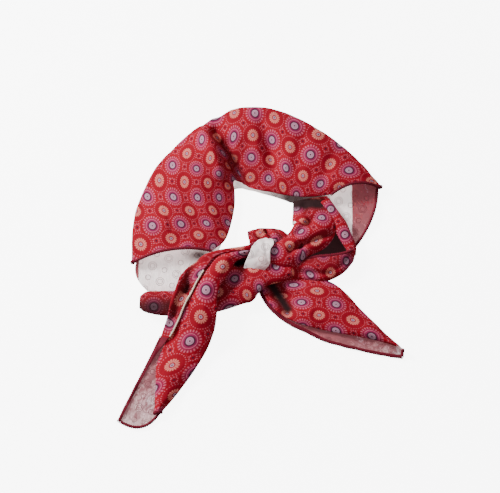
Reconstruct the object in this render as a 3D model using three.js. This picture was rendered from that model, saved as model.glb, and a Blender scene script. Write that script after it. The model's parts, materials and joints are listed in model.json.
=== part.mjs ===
// A printed cotton neckerchief, folded cornerwise into a strip, tied in a half knot and laid down.
// Millimetres, +Z up. The table is z = 0, the knot and the two free ends lie towards -Y.
import * as THREE from 'three';

// Driving dimensions
const clothWall = 1.4;          // folded cotton with its turned hem, as a wall
const clearance = 0.4;          // gap between walls that touch on the real thing
const loopWidth = 196;          // tied loop, outside, left to right
const loopDepth = 148;          // tied loop, outside, back of the neck to the knot
const bandFoldHeight = 6.5;     // rounded fold along the band's outer edge
const bandCrown = 9;            // how far the band's front layer stands above its edges
const bandEdgeRise = 5.5;       // front layer's neck edge above the layer below it
const pleatDepth = 6;           // deep pleat at the upper left of the band
const pleatWave = 0.75 * Math.PI;     // the pleat is deepest past the middle of the band's width
const creaseDepth = 2.2;        // softer creases across the band
const creaseMiddle = 0.5;       // shares of the band's width
const creaseSpread = 0.16;
const lipBow = 4.5;             // how far the band's end hems bow back from a straight line
const cornerCurl = 9;           // right corner of the lower layer, curled up off the table
const rollWidth = 20;           // rolled stretches beside the knot
const rollHeight = 13;
const rollSlot = 24;            // degrees left open under a roll, where its hem tucks in
const knotHeight = rollHeight + 6 * clothWall;    // the roll in the knot, with the cloth round it
const knotReach = 12.8;         // half length of the wrap over the knot
const wrapWidth = 15;
const wrapTaper = 0.25;         // the wrap is wider at its lower end
const pocketHeight = 11;        // lower fold at the right, height of its front layer
const pocketFoldHeight = 0.8 * pocketHeight;
const stripWidth = 9;           // turned hem that crosses to the right corner
const stripHeight = 6;
const leftTailLength = 190;     // knot to tip, the longer free end
const rightTailLength = 150;
const tailFoldHeight = 4.6;     // rounded fold along a free end's edge
const tailEdgeRise = 3.4;       // free edge of its front layer above the layer below
const tailCrown = 3.2;
const tailHemRoll = 5;          // turned hem over the front of the left free end
const hemSlope = 0.15;          // how far the turned hem slopes down to its edge
const crossedShare = 0.98;      // the rolled stretch under the left free end, of rollHeight
const tailClimb = crossedShare * rollHeight + clothWall + clearance;
const grooveMiddle = 0.62;      // groove beside the right free end's flap, shares of its width
const grooveSpread = 0.14;
const tipBow = 8;               // how far the left tip's hem bows out

const halfWidth = loopWidth / 2;
const halfDepth = loopDepth / 2;
const tableHeight = clothWall / 2;    // middle of a wall that lies on the table
const knotPlace = new THREE.Vector2(0.04 * halfWidth, -0.635 * halfDepth);
const wrapPlace = new THREE.Vector2(0.04 * halfWidth, -0.655 * halfDepth);
const wrapReach = new THREE.Vector2(0.38, 0.92);      // the wrap's length, seen from above
const wrapSide = new THREE.Vector2(0.98, -0.2);       // and its width, sheared by the twist

// A table's rows, each value under its column's name
function table(columns, rows) {
  return rows.map((row) => Object.fromEntries(columns.map((name, order) => [name, row[order]])));
}

// Rows follow the band from its left end round the back to its right end. Places are shares of the
// loop's half width and half depth: fold is the outer edge, edge the front layer's neck edge and
// low the lower layer's free edge. crown, pleat, crease, bow and curl are shares of their sizes.
const bandRows = table([
  'foldX', 'foldY', 'edgeX', 'edgeY', 'lowX', 'lowY',
  'edge', 'crown', 'pleat', 'crease', 'bow', 'curl',
], [
  [-1.00, -0.72, -0.36, -0.61, -0.87, -1.02, 1.3, 0.5, 0.0, 0.5, 1.0,   0],
  [-1.00, -0.48, -0.26, -0.50, -0.55, -1.01, 1.0, 0.8, 0.0, 1.0, 0.5,   0],
  [-0.98, -0.20, -0.21, -0.32, -0.26, -0.80, 0.7, 1.0, 0.0, 0.5, 0.1,   0],
  [-0.91,  0.07, -0.18, -0.11, -0.19, -0.64, 0.6, 1.0, 0.0, 0.0, 0.0,   0],
  [-0.81,  0.33, -0.18,  0.06, -0.20, -0.33, 0.6, 1.0, 0.0, 0.0, 0.0,   0],
  [-0.68,  0.53, -0.19,  0.14, -0.17, -0.02, 0.7, 1.0, 0.0, 0.0, 0.0,   0],
  [-0.52,  0.73, -0.18,  0.18, -0.16,  0.10, 0.8, 1.0, 0.0, 0.0, 0.0,   0],
  [-0.42,  0.80, -0.15,  0.17, -0.13,  0.10, 0.9, 0.9, 0.3, 0.0, 0.0,   0],
  [-0.36,  0.83, -0.11,  0.15, -0.09,  0.09, 0.8, 0.8, 1.0, 0.0, 0.0,   0],
  [-0.30,  0.89, -0.08,  0.12, -0.06,  0.08, 0.8, 0.9, 0.3, 0.0, 0.0,   0],
  [-0.20,  0.97, -0.04,  0.09, -0.02,  0.07, 0.9, 1.0, 0.0, 0.0, 0.0,   0],
  [-0.05,  1.00,  0.03,  0.06,  0.05,  0.04, 0.9, 1.0, 0.0, 0.0, 0.0,   0],
  [ 0.12,  0.98,  0.11,  0.04,  0.13,  0.01, 1.0, 0.8, 0.0, 1.0, 0.0,   0],
  [ 0.31,  0.89,  0.20,  0.01,  0.22, -0.03, 1.1, 1.0, 0.0, 0.0, 0.0,   0],
  [ 0.51,  0.74,  0.29, -0.01,  0.29, -0.06, 1.2, 1.0, 0.0, 0.0, 0.0,   0],
  [ 0.69,  0.56,  0.38, -0.02,  0.42, -0.05, 1.3, 0.9, 0.0, 0.3, 0.0,   0],
  [ 0.83,  0.38,  0.46, -0.02,  0.57, -0.12, 1.4, 0.8, 0.0, 0.0, 0.3, 0.1],
  [ 0.94,  0.21,  0.53, -0.01,  0.70, -0.34, 1.5, 0.7, 0.0, 0.0, 0.7, 0.4],
  [ 1.00,  0.11,  0.59,  0.00, 0.785, -0.53, 1.6, 0.6, 0.0, 0.0, 1.0, 1.0],
]);

// Rolled stretches: centre of the roll in shares of the loop's half sizes, width and height in
// shares of the roll's, lift off the table in shares of the roll's height.
const leftRollRows = table(['x', 'y', 'width', 'height', 'lift'], [
  [-0.925, -1.15, 0.45, 0.55, 0.00],
  [-0.87, -1.155, 0.80, 0.80, 0.00],
  [-0.75,  -1.17, 0.95, 0.85, 0.00],
  [-0.60,  -1.17, 1.00, 0.85, 0.00],
  [-0.45,  -1.13, 1.20, 0.85, 0.00],
  [-0.30,  -1.05, 1.50, 0.90, 0.00],
  [-0.17,  -1.00, 1.45, 0.90, 0.10],
  [-0.06,  -1.00, 0.88, 0.85, 0.30],
  [ 0.05,  -0.96, 0.58, 0.75, 0.40],
  [ 0.17,  -0.885, 0.44, 0.60, 0.50],
]);
const rightRollRows = table(['x', 'y', 'width', 'height', 'lift'], [
  [0.375,  -0.095, 0.88, 0.60, 0.00],
  [ 0.405, -0.25, 1.10, 0.85, 0.05],
  [ 0.425, -0.42, 1.58, 0.95, 0.12],
  [ 0.34,  -0.59, 1.30, 1.00, 0.18],
  [ 0.22,  -0.655, 1.15, 0.95, 0.25],
  [ 0.10,  -0.655, 0.77, 0.85, 0.35],
]);
const stripRows = table(['x', 'y', 'width', 'height', 'lift'], [
  [ 0.54, -0.05, 0.85, 0.70, 0.40],
  [ 0.59, -0.18, 1.15, 0.95, 0.35],
  [ 0.66, -0.34, 1.20, 1.00, 0.50],
  [ 0.71, -0.47, 1.05, 1.00, 0.50],
  [ 0.75, -0.57, 0.75, 0.95, 0.40],
]);
const tuckRows = table(['x', 'y', 'width', 'height', 'lift'], [
  [-0.068, -0.460, 0.22, 0.60, 0.20],
  [-0.030, -0.430, 0.36, 0.85, 0.10],
  [ 0.060, -0.405, 0.40, 0.92, 0.05],
  [ 0.150, -0.410, 0.38, 0.88, 0.05],
  [ 0.215, -0.430, 0.26, 0.60, 0.20],
]);
// The lower right fold: fold is its outer edge, edge the rim of the mouth, low the hidden free edge.
// edge and rise are shares of the heights at the rim and at the fold.
const pocketRows = table([
  'foldX', 'foldY', 'edgeX', 'edgeY', 'lowX', 'lowY', 'edge', 'rise', 'crown',
], [
  [0.778, -0.630, 0.755, -0.610, 0.725, -0.49, 1.00, 1.00, 0.0],
  [0.760, -0.730, 0.690, -0.645, 0.660, -0.41, 1.00, 1.00, 0.1],
  [0.670, -0.860, 0.590, -0.670, 0.560, -0.39, 1.00, 1.00, 0.2],
  [0.530, -0.925, 0.490, -0.720, 0.480, -0.62, 0.85, 1.00, 0.2],
  [0.400, -0.920, 0.400, -0.820, 0.390, -0.78, 0.50, 0.75, 0.1],
  [0.310, -0.900, 0.315, -0.850, 0.310, -0.84, 0.30, 0.50, 0.0],
]);

// Free ends, from the knot to the tip. Places are shares of the free end's length from the knot:
// fold is the folded side, low the hemmed side. front is where the front layer ends and strip the
// turned hem's width, as shares of the width, crest where the front layer's crown ends, as a share of
// that layer, and the rest are shares of their sizes.
const leftTailRows = table([
  'foldX', 'foldY', 'lowX', 'lowY', 'front', 'edge', 'crest', 'strip', 'hem', 'climb', 'rise', 'bow',
], [
  [-0.030, -0.010, -0.052,  0.040, 0.80, 0.50, 0.90, 0.20, 1.00, 0.30, 0.8, 0.0],
  [-0.100, -0.042, -0.200,  0.000, 0.88, 0.50, 0.80, 0.16, 0.90, 0.80, 1.0, 0.0],
  [-0.134, -0.099, -0.281, -0.048, 0.90, 0.50, 0.68, 0.28, 1.00, 0.95, 1.0, 0.0],
  [-0.166, -0.147, -0.330, -0.100, 0.90, 0.50, 0.60, 0.34, 1.00, 1.00, 1.0, 0.0],
  [-0.180, -0.195, -0.354, -0.158, 0.90, 0.50, 0.62, 0.32, 1.00, 1.00, 1.0, 0.0],
  [-0.180, -0.248, -0.374, -0.215, 0.90, 0.50, 0.66, 0.28, 1.00, 0.95, 1.0, 0.0],
  [-0.188, -0.315, -0.390, -0.275, 0.90, 0.50, 0.74, 0.22, 0.95, 0.60, 1.0, 0.0],
  [-0.211, -0.380, -0.411, -0.332, 0.90, 0.50, 0.82, 0.16, 0.85, 0.25, 1.0, 0.0],
  [-0.240, -0.434, -0.439, -0.394, 0.88, 0.60, 0.92, 0.09, 0.65, 0.05, 1.0, 0.0],
  [-0.276, -0.491, -0.470, -0.459, 0.82, 0.80, 1.00, 0.06, 0.50, 0.00, 1.0, 0.0],
  [-0.316, -0.547, -0.502, -0.522, 0.64, 1.00, 1.00, 0.06, 0.45, 0.00, 0.9, 0.0],
  [-0.356, -0.601, -0.537, -0.592, 0.44, 1.00, 1.00, 0.06, 0.45, 0.00, 0.8, 0.3],
  [-0.403, -0.654, -0.584, -0.692, 0.18, 0.90, 1.00, 0.06, 0.45, 0.00, 0.7, 1.0],
]);
const rightTailRows = table([
  'foldX', 'foldY', 'lowX', 'lowY', 'front', 'edge', 'crest', 'strip', 'hem', 'rise', 'groove',
], [
  [0.110, -0.125, -0.020, -0.190, 0.90, 0.90, 1.00, 0.090, 0.45, 0.5, 0.3],
  [0.235, -0.155,  0.020, -0.262, 0.92, 1.00, 1.00, 0.055, 0.45, 1.0, 1.0],
  [0.365, -0.170,  0.072, -0.320, 0.93, 1.00, 1.00, 0.040, 0.45, 1.3, 0.8],
  [0.439, -0.213,  0.144, -0.372, 0.94, 1.00, 1.00, 0.040, 0.45, 1.3, 0.3],
  [0.500, -0.277,  0.221, -0.409, 0.92, 1.00, 1.00, 0.045, 0.45, 1.2, 0.0],
  [0.571, -0.350,  0.329, -0.461, 0.70, 1.00, 1.00, 0.050, 0.45, 1.1, 0.0],
  [0.642, -0.421,  0.488, -0.504, 0.43, 1.00, 1.00, 0.080, 0.45, 1.0, 0.0],
  [0.699, -0.473,  0.636, -0.536, 0.25, 0.95, 1.00, 0.150, 0.45, 0.9, 0.0],
  [0.722, -0.500,  0.718, -0.548, 0.20, 0.90, 1.00, 0.250, 0.45, 0.8, 0.0],
]);

// One value of a smooth curve through four neighbours
function smooth(before, from, to, after, share) {
  const square = share * share;
  const cube = square * share;
  return 0.5 * (2 * from + (to - before) * share
    + (2 * before - 5 * from + 4 * to - after) * square
    + (3 * from - before - 3 * to + after) * cube);
}

// The row at a share of the way through a table, each column on its own smooth curve
function rowAt(rows, share) {
  const place = share * (rows.length - 1);
  const index = Math.min(Math.floor(place), rows.length - 2);
  const at = (step) => rows[THREE.MathUtils.clamp(index + step, 0, rows.length - 1)];
  const row = {};
  for (const key of Object.keys(rows[0])) {
    row[key] = smooth(at(-1)[key], at(0)[key], at(1)[key], at(2)[key], place - index);
  }
  return row;
}

// Where a doubled cloth's section is sampled: its front layer, the round fold, the back layer, the
// turn at the hem and the turned strip, each with a share of its own
function sectionSpots(counts) {
  const spots = [];
  const stretches = Object.entries(counts);
  stretches.forEach(([stretch, count], order) => {
    const last = order === stretches.length - 1 ? count : count - 1;
    for (let step = 0; step <= last; step += 1) {
      spots.push({ stretch, share: step / count });
    }
  });
  return spots;
}

const lift = (plan, height) => new THREE.Vector3(plan.x, plan.y, height);
const swell = (share) => 4 * share * (1 - share);
const dip = (share, middle, spread) => Math.exp(-(((share - middle) / spread) ** 2));

// A point of a doubled cloth. fold, edge and low are its corners in plan, and outward points from
// the cloth out past its fold.
function doubledPoint(shape, spot) {
  const { fold, edge, low, base, foldHeight } = shape;
  const radius = foldHeight / 2;
  const outward = new THREE.Vector2().subVectors(fold, edge).normalize();
  const seat = fold.clone().addScaledVector(outward, -radius - clothWall / 2);
  if (spot.stretch === 'front') {
    const share = 1 - spot.share;
    const plan = seat.clone().lerp(edge, share);
    plan.y += shape.edgeBow * swell(share);
    const down = Math.min(1, share / shape.crest);
    const slope = THREE.MathUtils.lerp(foldHeight, shape.edgeHeight, down);
    return lift(plan, base + slope + shape.relief(down));
  }
  if (spot.stretch === 'fold') {
    const angle = Math.PI * (0.5 - spot.share);
    const plan = seat.clone().addScaledVector(outward, radius * Math.cos(angle));
    return lift(plan, base + radius + radius * Math.sin(angle));
  }
  if (spot.stretch === 'back') {
    const plan = seat.clone().lerp(low, spot.share);
    plan.addScaledVector(shape.lowBow, swell(spot.share));
    return lift(plan, base + shape.lowCurl * spot.share * (1 - spot.share));
  }
  const inward = new THREE.Vector2().subVectors(seat, low).normalize();
  const hemRadius = shape.hemHeight / 2;
  if (spot.stretch === 'turn') {
    const angle = Math.PI * (spot.share - 0.5);
    const plan = low.clone().addScaledVector(inward, -hemRadius * Math.cos(angle));
    return lift(plan, base + hemRadius + hemRadius * Math.sin(angle));
  }
  const plan = low.clone().addScaledVector(inward, shape.stripWidth * spot.share);
  return lift(plan, base + shape.hemHeight - shape.stripDrop * spot.share);
}

// A point of the neck band
function bandPoint(share, spot) {
  const row = rowAt(bandRows, share);
  const across = (x, y) => new THREE.Vector2(x * halfWidth, y * halfDepth);
  const relief = (part) => {
    const pleat = pleatDepth * row.pleat * Math.sin(pleatWave * part);
    const crease = creaseDepth * row.crease * dip(part, creaseMiddle, creaseSpread);
    return bandCrown * row.crown * swell(part) - pleat - crease;
  };
  return doubledPoint({
    fold: across(row.foldX, row.foldY),
    edge: across(row.edgeX, row.edgeY),
    low: across(row.lowX, row.lowY),
    base: tableHeight,
    foldHeight: bandFoldHeight,
    edgeHeight: bandEdgeRise * row.edge,
    crest: 1,
    relief,
    edgeBow: lipBow * row.bow,
    lowBow: new THREE.Vector2(lipBow * row.curl, 0),
    lowCurl: cornerCurl * Math.max(0, row.curl),
  }, spot);
}

// A point of the lower right fold
function pocketPoint(share, spot) {
  const row = rowAt(pocketRows, share);
  const across = (x, y) => new THREE.Vector2(x * halfWidth, y * halfDepth);
  return doubledPoint({
    fold: across(row.foldX, row.foldY),
    edge: across(row.edgeX, row.edgeY),
    low: across(row.lowX, row.lowY),
    base: tableHeight,
    foldHeight: pocketFoldHeight * row.rise,
    edgeHeight: pocketHeight * row.edge,
    crest: 1,
    relief: (part) => pocketHeight * row.crown * swell(part),
    edgeBow: 0,
    lowBow: new THREE.Vector2(),
    lowCurl: 0,
  }, spot);
}

// A point of a free end
function tailPoint(rows, length, share, spot) {
  const row = rowAt(rows, share);
  const from = (x, y) => new THREE.Vector2(knotPlace.x + x * length, knotPlace.y + y * length);
  const fold = from(row.foldX, row.foldY);
  const low = from(row.lowX, row.lowY);
  const width = fold.distanceTo(low);
  const hemHeight = tailHemRoll * row.hem;
  low.lerp(fold, (hemHeight / 2 + clothWall / 2) / width);
  const edge = fold.clone().lerp(low, row.front);
  const climb = row.climb ?? 0;
  const groove = row.groove ?? 0;
  const bow = row.bow ?? 0;
  const along = new THREE.Vector2(fold.y - low.y, low.x - fold.x).normalize();
  return doubledPoint({
    fold,
    edge,
    low,
    base: tableHeight + tailClimb * Math.max(0, climb),
    foldHeight: tailFoldHeight * row.rise,
    edgeHeight: tailEdgeRise * row.edge,
    crest: row.crest,
    relief: (part) => tailCrown * row.rise * swell(part)
      - tailFoldHeight * groove * dip(part, grooveMiddle, grooveSpread),
    edgeBow: 0,
    lowBow: along.multiplyScalar(tipBow * bow),
    lowCurl: 0,
    hemHeight,
    stripWidth: width * row.strip,
    stripDrop: hemHeight * hemSlope,
  }, spot);
}

// The way round an open roll's section, as an angle, from one side of the slot below to the other
function rollAngle(share) {
  const open = THREE.MathUtils.degToRad(rollSlot);
  return -Math.PI / 2 + open / 2 + (2 * Math.PI - open) * share;
}

// A point of a rolled stretch: round its centre line, open along a slot underneath
function rollPoint(rows, width, height, share, spot) {
  const step = 0.01;
  const row = rowAt(rows, share);
  const before = rowAt(rows, Math.max(0, share - step));
  const after = rowAt(rows, Math.min(1, share + step));
  const side = new THREE.Vector2(
    (before.y - after.y) * halfDepth,
    (after.x - before.x) * halfWidth,
  ).normalize();
  const angle = rollAngle(spot.share);
  const plan = new THREE.Vector2(row.x * halfWidth, row.y * halfDepth);
  plan.addScaledVector(side, -Math.cos(angle) * width * row.width / 2);
  const middle = height * (row.lift + row.height / 2);
  return lift(plan, tableHeight + middle + Math.sin(angle) * height * row.height / 2);
}

// A point of the wrap: an upright ring over and under the knot's core
function wrapPoint(share, spot) {
  const angle = 2 * Math.PI * share;
  const middle = (knotHeight - clothWall / 2 + tableHeight) / 2;
  const width = wrapWidth * (1 - wrapTaper * Math.cos(angle));
  const plan = wrapPlace.clone();
  plan.addScaledVector(wrapReach, knotReach * Math.cos(angle));
  plan.addScaledVector(wrapSide, width * (spot.share - 0.5));
  return lift(plan, middle + (middle - tableHeight - clearance / 2) * Math.sin(angle));
}

// A closed cloth wall from a surface of points: both sides of the wall and the rim round its edges.
// ring closes the surface on itself along its length.
function clothWallGeometry(pointAt, lengthSteps, spots, ring = false) {
  const rows = ring ? lengthSteps : lengthSteps + 1;
  const columns = spots.length;
  const grid = [];
  for (let i = 0; i < rows; i += 1) {
    grid.push(spots.map((spot) => pointAt(i / lengthSteps, spot)));
  }
  const wrapRow = (i) => (ring ? (i + rows) % rows : THREE.MathUtils.clamp(i, 0, rows - 1));
  const clampColumn = (j) => THREE.MathUtils.clamp(j, 0, columns - 1);
  const faceNormal = (i, j) => {
    const along = new THREE.Vector3().subVectors(grid[wrapRow(i + 1)][j], grid[wrapRow(i - 1)][j]);
    const across = new THREE.Vector3().subVectors(grid[i][clampColumn(j + 1)], grid[i][clampColumn(j - 1)]);
    return new THREE.Vector3().crossVectors(along, across).normalize();
  };
  const positions = [];
  for (const side of [1, -1]) {
    for (let i = 0; i < rows; i += 1) {
      for (let j = 0; j < columns; j += 1) {
        const point = grid[i][j].clone().addScaledVector(faceNormal(i, j), side * clothWall / 2);
        positions.push(point.x, point.y, point.z);
      }
    }
  }
  const count = rows * columns;
  const index = (side, i, j) => side * count + wrapRow(i) * columns + j;
  const faces = [];
  const quad = (a, b, c, d) => faces.push(a, b, c, a, c, d);
  const spans = ring ? rows : rows - 1;
  for (let i = 0; i < spans; i += 1) {
    for (let j = 0; j < columns - 1; j += 1) {
      quad(index(0, i, j), index(0, i + 1, j), index(0, i + 1, j + 1), index(0, i, j + 1));
      quad(index(1, i, j), index(1, i, j + 1), index(1, i + 1, j + 1), index(1, i + 1, j));
    }
    quad(index(0, i, 0), index(1, i, 0), index(1, i + 1, 0), index(0, i + 1, 0));
    const end = columns - 1;
    quad(index(0, i, end), index(0, i + 1, end), index(1, i + 1, end), index(1, i, end));
  }
  if (!ring) {
    for (let j = 0; j < columns - 1; j += 1) {
      quad(index(0, 0, j), index(0, 0, j + 1), index(1, 0, j + 1), index(1, 0, j));
      const end = rows - 1;
      quad(index(0, end, j), index(1, end, j), index(1, end, j + 1), index(0, end, j + 1));
    }
  }
  const geometry = new THREE.BufferGeometry();
  geometry.setAttribute('position', new THREE.Float32BufferAttribute(positions, 3));
  geometry.setIndex(faces);
  return geometry;
}

// Turns a wall's faces outwards if they came out facing in
function facingOut(geometry) {
  const at = geometry.attributes.position;
  const order = geometry.index.array;
  const corner = [0, 1, 2].map(() => new THREE.Vector3());
  let volume = 0;
  for (let face = 0; face < order.length; face += 3) {
    corner.forEach((vector, k) => vector.fromBufferAttribute(at, order[face + k]));
    volume += corner[0].dot(corner[1].clone().cross(corner[2])) / 6;
  }
  if (volume < 0) {
    for (let face = 0; face < order.length; face += 3) {
      [order[face + 1], order[face + 2]] = [order[face + 2], order[face + 1]];
    }
  }
  geometry.computeVertexNormals();
  return geometry;
}

const printedCotton = { color: 0xb8232c, roughness: 0.85, metalness: 0 };
const reverseCotton = { color: 0xe6dcda, roughness: 0.9, metalness: 0 };

function clothPiece(name, finish, geometry) {
  const piece = new THREE.Mesh(facingOut(geometry), new THREE.MeshStandardMaterial(finish));
  piece.name = name;
  return piece;
}

function neckBand() {
  const spots = sectionSpots({ front: 10, fold: 4, back: 7 });
  return clothPiece('neck_band', printedCotton, clothWallGeometry(bandPoint, 42, spots));
}

function rightPocket() {
  const spots = sectionSpots({ front: 4, fold: 4, back: 3 });
  return clothPiece('right_pocket', printedCotton, clothWallGeometry(pocketPoint, 14, spots));
}

function freeEnd(name, rows, length, steps) {
  const spots = sectionSpots({ front: 6, fold: 4, back: 6, turn: 3, strip: 3 });
  const pointAt = (share, spot) => tailPoint(rows, length, share, spot);
  return clothPiece(name, printedCotton, clothWallGeometry(pointAt, steps, spots));
}

function rolledStretch(name, rows, width, height, steps, sides) {
  const spots = sectionSpots({ round: sides });
  const pointAt = (share, spot) => rollPoint(rows, width, height, share, spot);
  return clothPiece(name, printedCotton, clothWallGeometry(pointAt, steps, spots));
}

function knotWrap() {
  const spots = sectionSpots({ across: 4 });
  return clothPiece('knot_wrap', reverseCotton, clothWallGeometry(wrapPoint, 24, spots, true));
}

const neckerchief = new THREE.Group();
neckerchief.name = 'neckerchief';
neckerchief.add(
  neckBand(),
  rolledStretch('left_roll', leftRollRows, rollWidth, rollHeight, 18, 12),
  rolledStretch('right_roll', rightRollRows, rollWidth, rollHeight, 14, 12),
  rolledStretch('right_strip', stripRows, stripWidth, stripHeight, 10, 8),
  rightPocket(),
  knotWrap(),
  rolledStretch('knot_tuck', tuckRows, rollWidth, rollHeight, 12, 10),
  freeEnd('left_tail', leftTailRows, leftTailLength, 26),
  freeEnd('right_tail', rightTailRows, rightTailLength, 18),
);

// The origin is on the table under the middle of the whole thing
const bounds = new THREE.Box3().setFromObject(neckerchief);
const centre = bounds.getCenter(new THREE.Vector3());
neckerchief.position.set(-centre.x, -centre.y, -bounds.min.z);

export default neckerchief;
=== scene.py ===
"""Blender looks for a printed cotton neckerchief, folded cornerwise, tied in a half knot and laid down.

It is laid out as an add-on and run as a script. Each stretch of cloth is a thin sheet worked out
from short tables, shaped by fold lines and crumples and slackened by a short cloth simulation. It
carries its own length and width in millimetres as a UV map, so that the print follows the cloth.
Lengths in the tables are millimetres or shares of the named sizes; meshes are in metres.
"""

import json
import math

import bmesh
import bpy
import numpy as np
from bpy.props import FloatProperty, FloatVectorProperty, PointerProperty
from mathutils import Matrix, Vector

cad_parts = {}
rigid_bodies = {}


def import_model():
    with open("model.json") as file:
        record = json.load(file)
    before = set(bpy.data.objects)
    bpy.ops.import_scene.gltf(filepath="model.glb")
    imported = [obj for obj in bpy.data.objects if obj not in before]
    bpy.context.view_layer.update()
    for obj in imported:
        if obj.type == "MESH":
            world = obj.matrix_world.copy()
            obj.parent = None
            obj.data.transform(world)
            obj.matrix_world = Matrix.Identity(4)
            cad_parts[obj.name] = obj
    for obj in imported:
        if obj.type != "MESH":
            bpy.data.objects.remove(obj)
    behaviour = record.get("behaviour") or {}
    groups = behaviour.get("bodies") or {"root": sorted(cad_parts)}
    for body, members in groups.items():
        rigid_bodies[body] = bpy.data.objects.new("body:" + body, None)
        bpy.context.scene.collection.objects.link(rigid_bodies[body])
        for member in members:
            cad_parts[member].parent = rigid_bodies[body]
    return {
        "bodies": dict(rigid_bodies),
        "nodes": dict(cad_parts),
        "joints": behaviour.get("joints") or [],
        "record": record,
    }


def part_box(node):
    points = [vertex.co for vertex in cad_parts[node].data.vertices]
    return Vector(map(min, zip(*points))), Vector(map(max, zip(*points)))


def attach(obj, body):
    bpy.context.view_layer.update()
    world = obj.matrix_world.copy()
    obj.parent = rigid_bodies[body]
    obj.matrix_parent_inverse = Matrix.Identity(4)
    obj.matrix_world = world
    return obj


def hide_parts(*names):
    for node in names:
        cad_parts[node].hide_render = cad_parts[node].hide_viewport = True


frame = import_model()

bl_info = {
    "name": "Neckerchief",
    "version": (1, 0, 0),
    "blender": (4, 5, 0),
    "location": "3D View > Sidebar > Neckerchief",
    "description": "A printed cotton neckerchief, folded, tied and laid on a table",
    "category": "Add Mesh",
}


def linear(code):
    """An sRGB hex colour as linear red, green and blue."""
    shares = [int(code[k:k + 2], 16) / 255 for k in (1, 3, 5)]
    return tuple(s / 12.92 if s <= 0.04045 else ((s + 0.055) / 1.055) ** 2.4 for s in shares)


def colour_property(name, description, code):
    return FloatVectorProperty(
        name=name, description=description, default=linear(code), subtype="COLOR", min=0, max=1
    )


def length_property(name, description, default):
    return FloatProperty(name=name, description=description, default=default, unit="LENGTH", min=0)


class NeckerchiefSizes(bpy.types.PropertyGroup):
    """Sizes and colours of the cloth"""

    pitch: length_property("Medallion pitch", "From one medallion to the next", 0.0168)
    thickness: length_property("Cloth thickness", "Printed cotton lawn, one layer", 0.0006)
    hem_radius: length_property("Hem radius", "Half thickness of the rolled hem", 0.0011)
    stitch_spacing: length_property("Stitch spacing", "Between two overlock stitches", 0.0015)
    stitch_radius: length_property("Thread radius", "Half thickness of the hem's thread", 0.00025)
    red: colour_property("Red", "Ground of the print", "#9f091e")
    deep_red: colour_property("Deep red", "Hem thread and shaded ground", "#7c0a20")
    magenta: colour_property("Magenta", "Ring of the purple medallions", "#9a2857")
    plum: colour_property("Plum", "Dark ring of the purple medallions", "#3f152e")
    pink: colour_property("Pink", "Fine dashes and dots", "#d76a7d")
    lilac: colour_property("Lilac", "Middle of the purple medallions", "#bd98ac")
    salmon: colour_property("Salmon", "Petals of the cream medallions", "#e47f74")
    cream: colour_property("Cream", "Thread along the turned hem of the left end", "#e9d9b8")
    reverse: colour_property("Reverse", "Unprinted side of the cotton", "#faf1ef")
    # Painted shade for the reverse's crease net and crumple patches; it also tints the reverse's dye rings
    # and flecks
    shade: colour_property("Creases", "Creases of the reverse", "#8c6468")
    shadow: colour_property("Shadow", "Cotton deep in a fold", "#2a1618")


# Sizes in millimetres, and shares where they are below 1
LOOP_WIDTH = 196
LOOP_DEPTH = 148
WALL = 1.4
BAND_FOLD = 6.5
BAND_CROWN = 9
BAND_EDGE = 5.5
PLEAT_DEPTH = 6
CREASE_DEPTH = 2.2
LIP_BOW = 4.5
LEFT_BULGE = 0.9
CORNER_CURL = 9
ROLL_WIDTH = 20
ROLL_HEIGHT = 13
KNOT_HEIGHT = 21.4
KNOT_REACH = 13.5
POCKET_HEIGHT = 11
STRIP_WIDTH = 9
STRIP_HEIGHT = 6
LEFT_TAIL = 190
RIGHT_TAIL = 150
TAIL_FOLD = 4.6
TAIL_EDGE = 3.4
TAIL_CROWN = 3.2
TAIL_HEM = 5
TAIL_CLIMB = 14.5
TIP_BOW = 8

# The rest of the shapes and looks. First how far the medallions crowd towards the neck edge, how strongly
# the reverse glows, which is painted light standing in for light through thin cotton, and in millimetres
# the height below which no fold is pressed and the heights between which the upper side starts. Then the
# forms of grooves, pleats, creases, folds and hems as shares, two directions of the wrap, and the slant of
# a stitch in degrees
PRINT_CROWDING = 0.07
REVERSE_GLOW = 0.8
PRESSED_HEIGHT = 1.9
UPPER_SIDE = (2, 6)
GROOVE_MIDDLE = 0.62
GROOVE_SPREAD = 0.14
PLEAT_WAVE = 0.75 * math.pi
CREASE_MIDDLE = 0.5
CREASE_SPREAD = 0.16
FOLD_SHARE = 0.8
HEM_SLOPE = 0.15
WRAP_REACH = np.array([0.38, 0.92])
WRAP_SIDE = np.array([0.98, -0.2])
STITCH_SLANT = 28
STITCH_PROUD = 0.4

# How the cloth settles: metres of the simulation to a millimetre of cloth, how far the cloth grows,
# how firmly it is held from 0 to 1, steps run, and the most that a point may move in millimetres
SETTLE_SCALE = 0.01
SETTLE_GROWTH = 0.04
SETTLE_HOLD = 0.3
SETTLE_STEPS = 12
SETTLE_CAP = 2.5
SETTLE_SMOOTHING = 3

# How strongly the print shows through the reverse, and where, in shares of the loop's half sizes: beyond
# PANEL_START at the right corner, least at the low end of PANEL_FADE, and beyond CORNER_END at the left
# one, with a border of PANEL_BLUR millimetres. Where it is strong the reverse also takes painted shade, so
# the right corner's panel darkens towards the band's lip above it
PANEL_START = 0.755
PANEL_SHOWN = 0.9
PANEL_LEAST = 0.55
PANEL_BLUR = 1.0
PANEL_FADE = (-0.55, -0.15)
CORNER_END = -0.935
CORNER_SHOWN = 0.95

# The same on the free ends, with what it gains towards the knot, where it is partly painted shade, and on
# the wrap's patch, whose middle and size are in millimetres
TAIL_SHOWN = 0.26
TAIL_SHOWN_GAIN = 2.0
WRAP_SHOWN = 0.3
WRAP_PATCH = np.array([2, -11])
WRAP_PATCH_SIZE = 7

# Where the band's lower layer lies in the dark, in shares of the loop's half sizes: under the neck
# edge between two places, and round a place at the left lip
NECK_SHADE = (0.0, 0.6)
LIP_SHADE = np.array([-0.46, -0.63])
LIP_SHADE_SIZE = np.array([0.12, 0.07])

# A turned hem narrower than this share of a free end's width is all thread
NARROW_HEM = 0.12

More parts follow.
